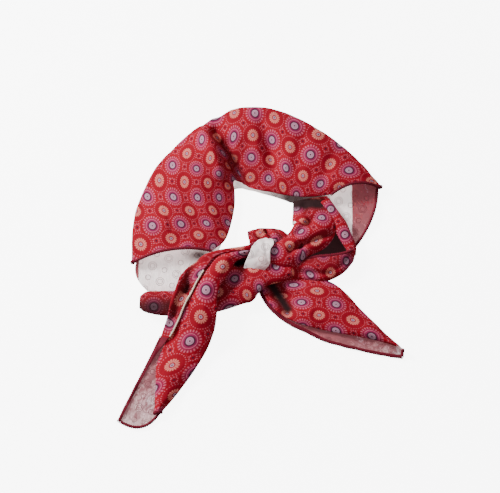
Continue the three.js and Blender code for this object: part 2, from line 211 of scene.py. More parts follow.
# Columns of a tail's grid, counted from the middle of its fold: where the hem turns up and where it
# lies lowest
TAIL_BACK_STEPS = 30
TAIL_TURN_COLUMN = 5 + TAIL_BACK_STEPS
TAIL_LOW_COLUMN = TAIL_TURN_COLUMN + 3

HALF_WIDTH = LOOP_WIDTH / 2
HALF_DEPTH = LOOP_DEPTH / 2
TABLE = WALL / 2
KNOT = (0.04 * HALF_WIDTH, -0.635 * HALF_DEPTH)
WRAP = (0.04 * HALF_WIDTH, -0.655 * HALF_DEPTH)

# Rows follow the band from its left end round the back to its right end. The last four columns count
# medallions along and across the cloth, where the row meets the outer fold and the neck edge
BAND = (
    "fold_x fold_y edge_x edge_y low_x low_y edge crown pleat crease bow curl"
    " fold_along fold_across edge_along edge_across",
    [
        (-1.00, -0.72, -0.36, -0.61, -0.87, -1.02, 1.3, 0.5, 0.0, 0.5, 1.0, 0, 6.9, 1.9, 4.15, 5.05),
        (-1.00, -0.48, -0.26, -0.50, -0.60, -1.01, 1.0, 0.8, 0.0, 1.0, 0.5, 0, 6.1, 1.55, 3.3, 5.3),
        (-0.98, -0.20, -0.21, -0.32, -0.43, -0.82, 0.7, 1.0, 0.0, 0.5, 0.1, 0, 5.2, 1.0, 2.0, 5.2),
        (-0.91, 0.07, -0.18, -0.11, -0.31, -0.60, 0.6, 1.0, 0.0, 0.0, 0.0, 0, 3.95, 0.6, 0.6, 5.1),
        (-0.81, 0.33, -0.18, 0.06, -0.25, -0.33, 0.6, 1.0, 0.0, 0.0, 0.0, 0, 2.8, 0.4, -0.2, 4.6),
        (-0.68, 0.53, -0.19, 0.14, -0.23, -0.02, 0.7, 1.0, 0.0, 0.0, 0.0, 0, 1.6, 0.2, -0.8, 4.3),
        (-0.52, 0.73, -0.18, 0.18, -0.19, 0.08, 0.8, 1.0, 0.0, 0.0, 0.0, 0, 0.3, 0.1, -1.0, 4.2),
        (-0.43, 0.80, -0.15, 0.17, -0.13, 0.10, 0.9, 0.9, 0.3, 0.0, 0.0, 0, -0.5, 0.1, -1.4, 4.1),
        (-0.365, 0.86, -0.11, 0.15, -0.09, 0.09, 0.8, 0.8, 1.0, 0.0, 0.0, 0, -0.9, 0.0, -2.0, 3.8),
        (-0.30, 0.89, -0.08, 0.12, -0.06, 0.08, 0.8, 0.9, 0.3, 0.0, 0.0, 0, -1.15, -0.1, -2.75, 3.55),
        (-0.20, 0.97, -0.04, 0.09, -0.02, 0.07, 0.9, 1.0, 0.0, 0.0, 0.0, 0, -1.85, -0.25, -3.1, 3.65),
        (-0.05, 1.00, 0.03, 0.06, 0.05, 0.04, 0.9, 1.0, 0.0, 0.0, 0.0, 0, -2.75, -0.35, -3.6, 3.65),
        (0.12, 0.98, 0.11, 0.04, 0.13, 0.01, 1.0, 0.8, 0.0, 1.0, 0.0, 0, -3.8, -0.45, -4.2, 3.75),
        (0.31, 0.89, 0.20, 0.01, 0.22, -0.03, 1.1, 1.0, 0.0, 0.0, 0.0, 0, -4.95, -0.5, -5.05, 3.4),
        (0.51, 0.74, 0.29, -0.01, 0.29, -0.06, 1.2, 1.0, 0.0, 0.0, 0.0, 0, -6.0, -0.3, -5.85, 3.15),
        (0.69, 0.56, 0.38, -0.02, 0.42, -0.05, 1.3, 0.9, 0.0, 0.3, 0.0, 0, -7.15, 0.0, -6.5, 2.9),
        (0.83, 0.38, 0.46, -0.02, 0.57, -0.12, 1.4, 0.8, 0.0, 0.0, 0.3, 0.1, -8.3, 0.35, -7.0, 2.7),
        (0.94, 0.21, 0.53, -0.01, 0.70, -0.34, 1.5, 0.7, 0.0, 0.0, 0.7, 0.4, -9.0, 0.7, -7.45, 2.6),
        (1.00, 0.11, 0.59, 0.00, 0.785, -0.53, 1.6, 0.6, 0.0, 0.0, 1.0, 1.0, -9.6, 0.95, -7.7, 2.35),
    ],
)
LEFT_ROLL = (
    "x y width height lift",
    [
        (-0.925, -1.15, 0.45, 0.55, 0.00),
        (-0.87, -1.155, 0.80, 0.80, 0.00),
        (-0.75, -1.17, 0.95, 0.85, 0.00),
        (-0.60, -1.17, 1.00, 0.85, 0.00),
        (-0.45, -1.13, 1.20, 0.85, 0.00),
        (-0.30, -1.05, 1.50, 0.90, 0.00),
        (-0.17, -0.93, 2.00, 0.85, 0.05),
        (-0.06, -0.855, 1.75, 0.80, 0.10),
        (0.05, -0.83, 1.35, 0.75, 0.25),
        (0.17, -0.845, 0.80, 0.60, 0.40),
        (0.27, -0.82, 0.45, 0.50, 0.40),
    ],
)
RIGHT_ROLL = (
    "x y width height lift",
    [
        (0.425, -0.025, 1.35, 0.30, 0.00),
        (0.450, -0.23, 1.62, 0.75, 0.05),
        (0.440, -0.40, 1.62, 0.95, 0.12),
        (0.32, -0.56, 1.15, 1.00, 0.18),
        (0.22, -0.655, 1.15, 0.95, 0.25),
        (0.10, -0.655, 0.77, 0.85, 0.35),
    ],
)
STRIP = (
    "x y width height lift",
    [
        (0.54, -0.05, 0.85, 0.70, 0.40),
        (0.59, -0.18, 1.15, 0.95, 0.35),
        (0.66, -0.34, 1.20, 1.00, 0.50),
        (0.71, -0.47, 1.05, 1.00, 0.50),
        (0.745, -0.565, 0.85, 0.95, 0.40),
        (0.755, -0.650, 0.60, 0.80, 0.30),
    ],
)
# From the wrap's lower end to its upper one: how far it reaches to the left and right of its middle,
# in millimetres
WRAP_SIDES = (
    "left right",
    [
        (-9.2, 7.2),
        (-8.8, 9.0),
        (-8.6, 7.2),
        (-8.6, 5.4),
        (-6.6, 5.9),
        (-1.6, 3.2),
    ],
)
TUCK = (
    "x y width height lift",
    [
        (-0.065, -0.485, 0.62, 0.70, 0.15),
        (0.010, -0.470, 0.72, 0.95, 0.08),
        (0.090, -0.460, 0.68, 1.00, 0.05),
        (0.170, -0.475, 0.66, 0.95, 0.08),
        (0.250, -0.530, 0.50, 0.70, 0.20),
    ],
)
POCKET = (
    "fold_x fold_y edge_x edge_y low_x low_y edge rise crown",
    [
        (0.778, -0.630, 0.755, -0.610, 0.725, -0.49, 1.00, 1.00, 0.0),
        (0.760, -0.730, 0.690, -0.645, 0.660, -0.37, 1.00, 1.00, 0.1),
        (0.670, -0.860, 0.590, -0.670, 0.560, -0.35, 1.00, 1.00, 0.2),
        (0.530, -0.935, 0.470, -0.680, 0.420, -0.45, 0.85, 1.00, 0.2),
        (0.400, -0.930, 0.370, -0.710, 0.320, -0.58, 0.75, 0.90, 0.2),
        (0.310, -0.915, 0.290, -0.750, 0.250, -0.66, 0.65, 0.80, 0.1),
        (0.220, -0.885, 0.215, -0.790, 0.190, -0.72, 0.50, 0.60, 0.0),
    ],
)
LEFT_END = (
    "fold_x fold_y low_x low_y front edge crest strip hem climb rise bow",
    [
        (-0.030, -0.010, -0.052, 0.040, 0.80, 0.50, 0.90, 0.20, 1.00, 0.30, 0.8, 0.0),
        (-0.100, -0.042, -0.200, 0.000, 0.88, 0.50, 0.80, 0.16, 0.90, 0.80, 1.0, 0.0),
        (-0.134, -0.099, -0.281, -0.048, 0.90, 0.50, 0.68, 0.28, 1.00, 0.95, 1.0, 0.0),
        (-0.166, -0.147, -0.330, -0.100, 0.90, 0.50, 0.60, 0.34, 1.00, 1.00, 1.0, 0.0),
        (-0.180, -0.195, -0.354, -0.158, 0.90, 0.50, 0.62, 0.30, 1.00, 1.00, 1.0, 0.0),
        (-0.180, -0.248, -0.374, -0.215, 0.90, 0.50, 0.66, 0.23, 1.00, 0.95, 1.0, 0.0),
        (-0.188, -0.315, -0.390, -0.275, 0.90, 0.50, 0.74, 0.17, 0.95, 0.60, 1.0, 0.0),
        (-0.211, -0.380, -0.411, -0.332, 0.90, 0.50, 0.82, 0.13, 0.85, 0.25, 1.0, 0.0),
        (-0.240, -0.434, -0.439, -0.394, 0.88, 0.60, 0.92, 0.06, 0.55, 0.05, 1.0, 0.0),
        (-0.276, -0.491, -0.470, -0.459, 0.82, 0.80, 1.00, 0.03, 0.35, 0.00, 1.0, 0.0),
        (-0.316, -0.547, -0.502, -0.522, 0.64, 1.00, 1.00, 0.03, 0.30, 0.00, 0.9, 0.0),
        (-0.356, -0.601, -0.537, -0.592, 0.44, 1.00, 1.00, 0.03, 0.30, 0.00, 0.8, 0.3),
        (-0.403, -0.654, -0.584, -0.692, 0.18, 0.90, 1.00, 0.03, 0.30, 0.00, 0.7, 1.0),
    ],
)
RIGHT_END = (
    "fold_x fold_y low_x low_y front edge crest strip hem rise groove",
    [
        (0.150, -0.070, -0.020, -0.190, 0.99, 0.90, 1.00, 0.040, 0.40, 0.5, 0.3),
        (0.260, -0.110, 0.020, -0.262, 0.99, 1.00, 1.00, 0.030, 0.35, 1.0, 1.0),
        (0.365, -0.150, 0.072, -0.320, 0.98, 1.00, 1.00, 0.030, 0.35, 1.3, 0.8),
        (0.439, -0.208, 0.144, -0.372, 0.95, 1.00, 1.00, 0.030, 0.35, 1.3, 0.3),
        (0.500, -0.277, 0.221, -0.409, 0.88, 1.00, 1.00, 0.030, 0.35, 1.2, 0.0),
        (0.571, -0.350, 0.329, -0.461, 0.68, 1.00, 1.00, 0.030, 0.35, 1.1, 0.0),
        (0.642, -0.421, 0.488, -0.504, 0.43, 1.00, 1.00, 0.050, 0.35, 1.0, 0.0),
        (0.699, -0.473, 0.636, -0.536, 0.25, 0.95, 1.00, 0.080, 0.35, 0.9, 0.0),
        (0.722, -0.500, 0.718, -0.548, 0.20, 0.90, 1.00, 0.110, 0.35, 0.8, 0.0),
    ],
)

# Lines pressed into the upper side of a stretch, from one place on the table to another in shares of
# the loop, with their depth and half width in millimetres and how dark they lie; a negative depth
# raises a ridge, and a line without depth is only shaded
FOLD_COLUMNS = "x1 y1 x2 y2 depth width shade"
FOLDS = {
    "neck_band": [
        (-0.335, 0.71, -0.26, 0.56, 5.0, 4.0, 0.25),
        (-0.26, 0.56, -0.19, 0.36, 8.0, 4.0, 0.2),
        (-0.19, 0.36, -0.125, 0.14, 9.0, 6.0, 0.2),
        (-0.10, 0.52, -0.03, 0.16, 3.0, 7.0, 0.15),
        (-0.43, 0.68, -0.29, 0.24, -4.0, 5.5, 0.0),
        (0.04, 0.80, 0.143, 0.30, 2.5, 6.0, 0.0),
        (-0.732, -0.158, -0.677, -0.40, 1.2, 1.6, 0.15),
        (-0.60, 0.10, -0.45, -0.30, 1.5, 7.0, 0.0),
        (0.37, 0.62, 0.30, 0.25, 1.8, 6.0, 0.0),
        (0.60, 0.42, 0.52, 0.10, 1.2, 5.0, 0.0),
    ],
    "left_tail": [
        (-0.50, -0.745, -0.56, -1.045, 4.5, 4.5, 0.45),
        (-0.56, -1.045, -0.66, -1.31, 4.5, 5.5, 0.4),
        (-0.66, -1.31, -0.79, -1.576, 3.5, 4.5, 0.2),
    ],
    "right_tail": [
        (0.10, -0.93, 0.24, -1.22, 8.0, 4.5, 1.1),
        (0.20, -0.92, 0.42, -1.26, -1.5, 3.0, 0.0),
    ],
    "left_roll": [
        (-0.36, -1.17, -0.08, -0.90, 2.5, 2.5, 0.3),
        (-0.30, -1.00, -0.10, -0.82, 3.0, 3.0, 0.3),
        (-0.155, -0.74, -0.12, -0.72, 9.0, 4.0, 1.2),
        (-0.94, -1.220, -0.60, -1.220, 0.0, 8.5, 0.85),
    ],
    "right_roll": [
        (0.265, -0.629, 0.342, -0.573, 4.0, 2.5, 0.3),
        (0.342, -0.573, 0.581, -0.432, 4.0, 2.5, 0.4),
        (0.310, -0.432, 0.454, -0.257, 3.5, 2.4, 0.25),
        (0.380, -0.10, 0.420, -0.35, 2.0, 2.5, 0.2),
        (0.28, -0.075, 0.50, -0.095, 0.0, 5.5, 1.3),
    ],
    "knot_wrap": [
        (0.013, -0.664, 0.150, -0.770, 1.6, 1.5, 0.2),
        (0.060, -0.555, 0.092, -0.839, 1.3, 1.4, 0.1),
        (-0.030, -0.720, 0.060, -0.700, 1.0, 1.3, 0.1),
    ],
    "knot_tuck": [
        (-0.060, -0.430, 0.020, -0.490, 2.8, 1.4, 0.4),
        (0.070, -0.400, 0.120, -0.510, 2.8, 1.4, 0.4),
        (-0.010, -0.390, 0.070, -0.430, 2.0, 1.2, 0.3),
        (0.150, -0.400, 0.200, -0.480, 2.4, 1.4, 0.5),
    ],
    "right_pocket": [
        (0.300, -0.830, 0.560, -0.860, 1.8, 2.2, 0.2),
        (0.360, -0.720, 0.700, -0.680, 0.0, 6.0, 0.35),
    ],
    "right_strip": [],
}

# How the print lies on each stretch: its turn in degrees, its shift in pitches along and across the
# cloth, and how far the cloth is pulled along and across. The values for the rolls, the strip and the
# free ends were not chosen by hand: a search fitted them to places of medallions read off the photo
PRINTS = {
    "left_roll": dict(turn=-4.6, shift=(0.27, 0.32), pull=(1.0, 1.0)),
    "right_roll": dict(turn=-10, shift=(0.74, 0.82), pull=(1.0, 1.0)),
    "right_strip": dict(turn=-43, shift=(0.58, 0.34), pull=(1.0, 1.0)),
    "knot_tuck": dict(turn=30, shift=(0.5, 0.5), pull=(1.0, 1.0)),
    "knot_wrap": dict(turn=45, shift=(0.0, 0.0), pull=(1.0, 1.0)),
    "right_pocket": dict(turn=0, shift=(0.3, 0.4), pull=(1.0, 1.0)),
    "left_tail": dict(turn=7.8, shift=(0.67, 0.22), pull=(1.27, 1.19)),
    "right_tail": dict(turn=-4.8, shift=(1.14, 0.19), pull=(1.08, 0.95)),
}


def rows_at(table, shares):
    """The columns of a table at shares of the way through its rows, each on a smooth curve."""
    names, rows = table
    rows = np.array(rows, dtype=float)
    place = np.asarray(shares) * (len(rows) - 1)
    index = np.minimum(place.astype(int), len(rows) - 2)
    t = (place - index)[:, None]
    before, start, end, after = (
        rows[np.clip(index + step, 0, len(rows) - 1)] for step in (-1, 0, 1, 2)
    )
    curve = 0.5 * (
        2 * start
        + (end - before) * t
        + (2 * before - 5 * start + 4 * end - after) * t ** 2
        + (3 * start - before - 3 * end + after) * t ** 3
    )
    return dict(zip(names.split(), curve.T))


def swell(share):
    return 4 * share * (1 - share)


def dip(share, middle, spread):
    return np.exp(-(((share - middle) / spread) ** 2))


def unit(vectors):
    return vectors / np.maximum(np.linalg.norm(vectors, axis=-1, keepdims=True), 1e-9)


def shares_of(steps):
    """Shares from 0 to just under 1, so that the next stretch starts where this one ends."""
    return np.arange(steps) / steps


def stretch_points(plan, height):
    return np.concatenate([plan, height[..., None]], axis=-1)


def doubled_cloth(shape, counts):
    """Points of a doubled cloth: its front layer, the fold, its back layer and, where it has one,
    the turned hem. Also tells which column the fold's middle is."""
    radius = (shape["fold_height"] / 2)[:, None]
    fold, edge, low = shape["fold"], shape["edge"], shape["low"]
    outward = unit(fold - edge)
    seat = fold - outward * (radius + WALL / 2)
    base = shape["base"][:, None]
    parts = []

    share = 1 - shares_of(counts["front"])[None, :]
    plan = seat[:, None] + (edge - seat)[:, None] * share[..., None]
    plan[..., 1] += shape["edge_bow"][:, None] * swell(share)
    down = np.minimum(1, share / shape["crest"][:, None])
    rise = shape["fold_height"][:, None] * (1 - down) + shape["edge_height"][:, None] * down
    parts.append(stretch_points(plan, base + rise + shape["relief"](down)))

    angle = math.pi * (0.5 - shares_of(counts["fold"]))[None, :]
    plan = seat[:, None] + outward[:, None] * (radius * np.cos(angle))[..., None]
    parts.append(stretch_points(plan, base + radius + radius * np.sin(angle)))

    last = 0 if "turn" in counts else 1
    share = np.append(shares_of(counts["back"]), [1.0] * last)[None, :]
    plan = seat[:, None] + (low - seat)[:, None] * share[..., None]
    plan = plan + shape["low_bow"][:, None] * swell(share)[..., None]
    parts.append(stretch_points(plan, base + shape["low_curl"][:, None] * share * (1 - share)))

    if "turn" in counts:
        inward = unit(seat - low)
        hem = (shape["hem_height"] / 2)[:, None]
        angle = math.pi * (shares_of(counts["turn"]) - 0.5)[None, :]
        plan = low[:, None] - inward[:, None] * (hem * np.cos(angle))[..., None]
        parts.append(stretch_points(plan, base + hem + hem * np.sin(angle)))
        share = np.linspace(0, 1, counts["strip"] + 1)[None, :]
        plan = low[:, None] + inward[:, None] * (shape["strip_width"][:, None] * share)[..., None]
        parts.append(stretch_points(plan, base + 2 * hem - shape["strip_drop"][:, None] * share))

    return np.concatenate(parts, axis=1), counts["front"] + counts["fold"] // 2


def band_points(steps=150, front=56, fold=12, back=30):
    row = rows_at(BAND, np.linspace(0, 1, steps + 1))

    def relief(part):
        pleat = PLEAT_DEPTH * row["pleat"][:, None] * np.sin(PLEAT_WAVE * part)
        crease = CREASE_DEPTH * row["crease"][:, None] * dip(part, CREASE_MIDDLE, CREASE_SPREAD)
        return BAND_CROWN * row["crown"][:, None] * swell(part) - pleat - crease

    size = np.array([HALF_WIDTH, HALF_DEPTH])
    zero = np.zeros(steps + 1)
    curl = np.maximum(0, row["curl"])
    bulging = np.where(row["fold_x"] < 0, row["bow"], 0)
    return doubled_cloth(
        {
            "fold": np.stack([row["fold_x"], row["fold_y"]], 1) * size,
            "edge": np.stack([row["edge_x"], row["edge_y"]], 1) * size,
            "low": np.stack([row["low_x"], row["low_y"]], 1) * size,
            "base": zero + TABLE,
            "fold_height": zero + BAND_FOLD,
            "edge_height": BAND_EDGE * row["edge"],
            "crest": zero + 1,
            "relief": relief,
            "edge_bow": LIP_BOW * row["bow"],
            "low_bow": np.stack([LIP_BOW * (curl - LEFT_BULGE * bulging), zero], 1),
            "low_curl": CORNER_CURL * curl,
        },
        {"front": front, "fold": fold, "back": back},
    )


def pocket_points(steps=60, front=16, fold=12, back=12):
    row = rows_at(POCKET, np.linspace(0, 1, steps + 1))
    size = np.array([HALF_WIDTH, HALF_DEPTH])
    zero = np.zeros(steps + 1)
    return doubled_cloth(
        {
            "fold": np.stack([row["fold_x"], row["fold_y"]], 1) * size,
            "edge": np.stack([row["edge_x"], row["edge_y"]], 1) * size,
            "low": np.stack([row["low_x"], row["low_y"]], 1) * size,
            "base": zero + TABLE,
            "fold_height": FOLD_SHARE * POCKET_HEIGHT * row["rise"],
            "edge_height": POCKET_HEIGHT * row["edge"],
            "crest": zero + 1,
            "relief": lambda part: POCKET_HEIGHT * row["crown"][:, None] * swell(part),
            "edge_bow": zero,
            "low_bow": np.zeros((steps + 1, 2)),
            "low_curl": zero,
        },
        {"front": front, "fold": fold, "back": back},
    )


def tail_points(table, length, steps, front=36, fold=10, back=TAIL_BACK_STEPS, turn=8, strip=14):
    row = rows_at(table, np.linspace(0, 1, steps + 1))
    knot = np.array(KNOT)
    fold_line = knot + np.stack([row["fold_x"], row["fold_y"]], 1) * length
    low = knot + np.stack([row["low_x"], row["low_y"]], 1) * length
    width = np.linalg.norm(fold_line - low, axis=1)
    hem_height = TAIL_HEM * row["hem"]
    low = low + (fold_line - low) * ((hem_height + WALL) / 2 / width)[:, None]
    edge = fold_line + (low - fold_line) * row["front"][:, None]
    along = unit(np.stack([fold_line[:, 1] - low[:, 1], low[:, 0] - fold_line[:, 0]], 1))
    groove = row.get("groove", np.zeros(steps + 1))[:, None]
    zero = np.zeros(steps + 1)

    def relief(part):
        crown = TAIL_CROWN * row["rise"][:, None] * swell(part)
        return crown - TAIL_FOLD * groove * dip(part, GROOVE_MIDDLE, GROOVE_SPREAD)

    return doubled_cloth(
        {
            "fold": fold_line,
            "edge": edge,
            "low": low,
            "base": TABLE + TAIL_CLIMB * np.maximum(0, row.get("climb", zero)),
            "fold_height": TAIL_FOLD * row["rise"],
            "edge_height": TAIL_EDGE * row["edge"],
            "crest": row["crest"],
            "relief": relief,
            "edge_bow": zero,
            "low_bow": along * (TIP_BOW * row.get("bow", zero))[:, None],
            "low_curl": zero,
            "hem_height": hem_height,
            "strip_width": width * row["strip"],
            "strip_drop": HEM_SLOPE * hem_height,
        },
        {"front": front, "fold": fold, "back": back, "turn": turn, "strip": strip},
    )


def roll_points(table, width, height, steps, sides=40, slot=24):
    """Points round a rolled stretch, which stays open along a slot underneath."""
    shares = np.linspace(0, 1, steps + 1)
    row = rows_at(table, shares)
    centre = np.stack([row["x"] * HALF_WIDTH, row["y"] * HALF_DEPTH], 1)
    forward = unit(np.gradient(centre, axis=0))
    side = np.stack([-forward[:, 1], forward[:, 0]], 1)
    opening = math.radians(slot)
    angle = -math.pi / 2 + opening / 2 + (2 * math.pi - opening) * np.linspace(0, 1, sides + 1)
    reach = -np.cos(angle)[None, :] * (width * row["width"] / 2)[:, None]
    plan = centre[:, None] + side[:, None] * reach[..., None]
    middle = TABLE + height * (row["lift"] + row["height"] / 2)
    rise = np.sin(angle)[None, :] * (height * row["height"] / 2)[:, None]
    return stretch_points(plan, middle[:, None] + rise), sides // 2


def wrap_points(steps=96, across=24):
    angle = 2 * math.pi * np.arange(steps)[:, None] / steps
    middle = (KNOT_HEIGHT - WALL / 2 + TABLE) / 2
    share = np.linspace(0, 1, across + 1)[None, :]
    row = rows_at(WRAP_SIDES, (np.cos(angle[:, 0]) + 1) / 2)
    sideways = row["left"][:, None] * (1 - share) + row["right"][:, None] * share
    lengthways = KNOT_REACH * np.cos(angle)
    plan = np.array(WRAP) + WRAP_REACH * lengthways[..., None] + WRAP_SIDE * sideways[..., None]
    height = middle + (middle - TABLE - 0.2) * np.sin(angle) + 0 * share
    return stretch_points(plan, height), across // 2


def crumple(points, height, size, seed):
    """Moves points up and down by small soft waves in many directions, the same on every run."""
    chance = np.random.default_rng(seed)
    moved = points.copy()
    waves = 12
    for _ in range(waves):
        direction = unit(chance.normal(size=3))
        length = size * chance.uniform(0.7, 1.6)
        phase = chance.uniform(0, 2 * math.pi)
        travel = points @ direction * 2 * math.pi / length
        moved[..., 2] += height / math.sqrt(waves) * np.sin(travel + phase)
    return moved


def press_folds(points, folds):
    """Presses fold lines into the upper side of a stretch, and tells how dark each point lies."""
    plan = points[..., :2]
    shade = np.zeros(points.shape[:2])
    bottom, top = UPPER_SIDE
    upper = np.clip((points[..., 2] - bottom) / (top - bottom), 0, 1)
    pressed = points.copy()
    for row in folds:
        fold = dict(zip(FOLD_COLUMNS.split(), row))
        start = np.array([fold["x1"] * HALF_WIDTH, fold["y1"] * HALF_DEPTH])
        along = np.array([fold["x2"] * HALF_WIDTH, fold["y2"] * HALF_DEPTH]) - start
        share = np.clip(((plan - start) @ along) / (along @ along), 0, 1)
        away = np.linalg.norm(plan - start - share[..., None] * along, axis=-1)
        near = np.exp(-((away / fold["width"]) ** 2))
        pressed[..., 2] -= upper * fold["depth"] * near
        shade += fold["shade"] * near
    lowest = np.minimum(points[..., 2], PRESSED_HEIGHT)
    pressed[..., 2] = np.maximum(pressed[..., 2], lowest)
    return pressed, np.minimum(shade, 1)


def settled(points, ring=False):
    """Lets the cloth grow a little and buckle, as slack cloth does, while soft pins hold it near its
    place. Runs Blender's own cloth simulation on the middle surface, scaled up so that it is steady."""
    rows, columns = points.shape[:2]
    scene = bpy.context.scene
    mesh = bpy.data.meshes.new("settling")
    places = points.reshape(-1, 3) * SETTLE_SCALE
    mesh.from_pydata(places.tolist(), [], grid_squares(rows, columns, ring).tolist())
    obj = bpy.data.objects.new("settling", mesh)
    scene.collection.objects.link(obj)
    held = obj.vertex_groups.new(name="held")
    index = np.arange(rows * columns).reshape(rows, columns)
    rim = np.zeros((rows, columns), dtype=bool)
    rim[:, [0, -1]] = True
    if not ring:
        rim[[0, -1]] = True
    held.add(index[rim].tolist(), 1.0, "REPLACE")
    held.add(index[~rim].tolist(), SETTLE_HOLD, "REPLACE")
    cloth = obj.modifiers.new("cloth", "CLOTH")
    cloth.settings.quality = 5
    cloth.settings.mass = 0.15
    cloth.settings.bending_stiffness = 0.05
    cloth.settings.vertex_group_mass = "held"
    cloth.settings.pin_stiffness = 1.0
    cloth.settings.shrink_min = -SETTLE_GROWTH
    cloth.settings.shrink_max = -SETTLE_GROWTH
    cloth.settings.effector_weights.gravity = 0
    cloth.collision_settings.use_collision = False
    cloth.point_cache.frame_end = SETTLE_STEPS
    for frame in range(1, SETTLE_STEPS + 1):
        scene.frame_set(frame)
    evaluated = obj.evaluated_get(bpy.context.evaluated_depsgraph_get())
    moved = np.zeros(rows * columns * 3)
    evaluated.data.vertices.foreach_get("co", moved)
    bpy.data.objects.remove(obj)
    bpy.data.meshes.remove(mesh)
    scene.frame_set(1)
    change = moved.reshape(points.shape) / SETTLE_SCALE - points
    for _ in range(SETTLE_SMOOTHING):
        for axis in (0, 1):
            change = (np.roll(change, 1, axis) + 2 * change + np.roll(change, -1, axis)) / 4
            if not (ring and axis == 0):
                last = change.shape[axis] - 1
                change[tuple([slice(None)] * axis + [[0, last]])] = 0
    reach = np.linalg.norm(change, axis=-1, keepdims=True)
    return points + change * np.minimum(1, SETTLE_CAP / np.maximum(reach, 1e-9))


def cloth_lengths(points, fold_column, ring=False):
    """Millimetres along and across the cloth at every point, from the fold's middle."""
    across = np.linalg.norm(np.diff(points, axis=1), axis=-1)
    across = np.concatenate([np.zeros((len(points), 1)), np.cumsum(across, axis=1)], axis=1)
    across -= across[:, fold_column:fold_column + 1]
    reference = points[:, fold_column]
    if ring:
        reference = np.concatenate([reference, reference[:1]])
    along = np.concatenate([[0], np.cumsum(np.linalg.norm(np.diff(reference, axis=0), axis=-1))])
    return along[:len(points), None] + 0 * across, across


def print_lengths(along, across, lay, pitch):
    turn = math.radians(lay["turn"])
    u = along / lay["pull"][0]
    v = across / lay["pull"][1]
    return np.stack(
        [
            u * math.cos(turn) - v * math.sin(turn) + lay["shift"][0] * pitch,
            u * math.sin(turn) + v * math.cos(turn) + lay["shift"][1] * pitch,
        ],
        axis=-1,
    )


def band_print_lengths(across, steps, pitch):
    """Millimetres of print on the band, whose rows of medallions crowd together at the neck edge."""
    row = rows_at(BAND, np.linspace(0, 1, steps + 1))
    share = np.clip(across / across[:, :1], 0, 1)
    crowded = share - PRINT_CROWDING * swell(share)
    along = row["fold_along"][:, None] + (row["edge_along"] - row["fold_along"])[:, None] * share
    rank = row["fold_across"][:, None] + (row["edge_across"] - row["fold_across"])[:, None] * crowded
    rank = rank - np.maximum(across, 0) / pitch
    return np.stack([along, rank], axis=-1) * pitch


def outward_normals(points, ring):
    """Unit normals of a grid of points, away from the cloth's inside."""
    if ring:
        along = np.roll(points, -1, axis=0) - np.roll(points, 1, axis=0)
    else:
        along = np.gradient(points, axis=0)
    normals = unit(np.cross(along, np.gradient(points, axis=1)))
    top = np.unravel_index(np.argmax(points[..., 2]), points.shape[:2])
    return normals if normals[top][2] > 0 else -normals


def loop_centre():
    """Where the middle of the tied loop lies in the frame, in metres."""
    low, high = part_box("neck_band")
    return Vector(((low[0] + high[0]) / 2, high[1] - HALF_DEPTH / 1000, 0))


def grid_squares(rows, columns, ring):
    """The corners of every square of a grid of points, row by row."""
    spans = rows if ring else rows - 1
    i, j = np.meshgrid(np.arange(spans), np.arange(columns - 1), indexing="ij")
    below = (i + 1) % rows
    corners = [i * columns + j, below * columns + j, below * columns + j + 1, i * columns + j + 1]
    return np.stack(corners, -1).reshape(-1, 4)


def sheet_object(name, points, uv, thickness, ring=False, outside=0, rim_slot=2, hem=None, marks=None):
    """A closed thin sheet from a grid of points. Its outer side has material slot outside, its inner
    side the other of the first two, its rims their own and the squares that hem marks the third.
    Marks are named values at every point for the materials to read."""
    rows, columns = points.shape[:2]
    normals = outward_normals(points, ring)
    centre = np.array(loop_centre())
    sides = [points / 1000 + centre + normals * thickness / 2 * sign for sign in (1, -1)]
    vertices = np.concatenate([side.reshape(-1, 3) for side in sides])
    spans = rows if ring else rows - 1
    quad = grid_squares(rows, columns, ring)
    count = rows * columns
    faces = [quad, quad[:, ::-1] + count]
    edges = []
    i = np.arange(spans)
    for column in (0, columns - 1):
        edges.append(np.stack([i * columns + column, (i + 1) % rows * columns + column], -1))
    if not ring:
        j = np.arange(columns - 1)
        for row in (0, rows - 1):
            edges.append(np.stack([row * columns + j, row * columns + j + 1], -1))
    rim = np.concatenate(edges)
    faces.append(np.stack([rim[:, 0], rim[:, 1], rim[:, 1] + count, rim[:, 0] + count], -1))
    faces = np.concatenate(faces)

    mesh = bpy.data.meshes.new(name)
    mesh.from_pydata(vertices.tolist(), [], faces.tolist())
    slots = np.full(len(faces), rim_slot)
    slots[:len(quad)] = outside
    slots[len(quad):2 * len(quad)] = 1 - outside
    if hem is not None:
        hemmed = np.flatnonzero(hem.ravel())
        slots[hemmed] = 2
        slots[hemmed + len(quad)] = 2
    mesh.polygons.foreach_set("material_index", slots)
    mesh.polygons.foreach_set("use_smooth", np.ones(len(faces), dtype=bool))
    layer = mesh.uv_layers.new(name="cloth_mm")
    corners = np.zeros(len(mesh.loops), dtype=int)
    mesh.loops.foreach_get("vertex_index", corners)
    layer.data.foreach_set("uv", uv.reshape(-1, 2)[corners % count].ravel())
    for label, values in (marks or {}).items():
        attribute = mesh.attributes.new(label, "FLOAT", "POINT")
        attribute.data.foreach_set("value", np.tile(values.ravel(), 2))
    mesh.validate()
    mesh.update()
    obj = bpy.data.objects.new(name, mesh)
    bpy.context.scene.collection.objects.link(obj)
    face_outwards(obj)
    return obj


def face_outwards(obj):
    work = bmesh.new()
    work.from_mesh(obj.data)
    bmesh.ops.recalc_face_normals(work, faces=work.faces)
    work.to_mesh(obj.data)
    work.free()


def add_node(tree, kind, settings=None, links=None):
    """Adds one node, sets its own settings, and sets or links its inputs by name or number."""
    node = tree.nodes.new(kind)
    for name, value in (settings or {}).items():
        setattr(node, name, value)
    for name, value in (links or {}).items():
        if isinstance(value, bpy.types.NodeSocket):
            tree.links.new(value, node.inputs[name])
        else:
            node.inputs[name].default_value = value
    return node


def maths(tree, operation, *values):
    links = dict(enumerate(values))
    return add_node(tree, "ShaderNodeMath", {"operation": operation}, links).outputs[0]


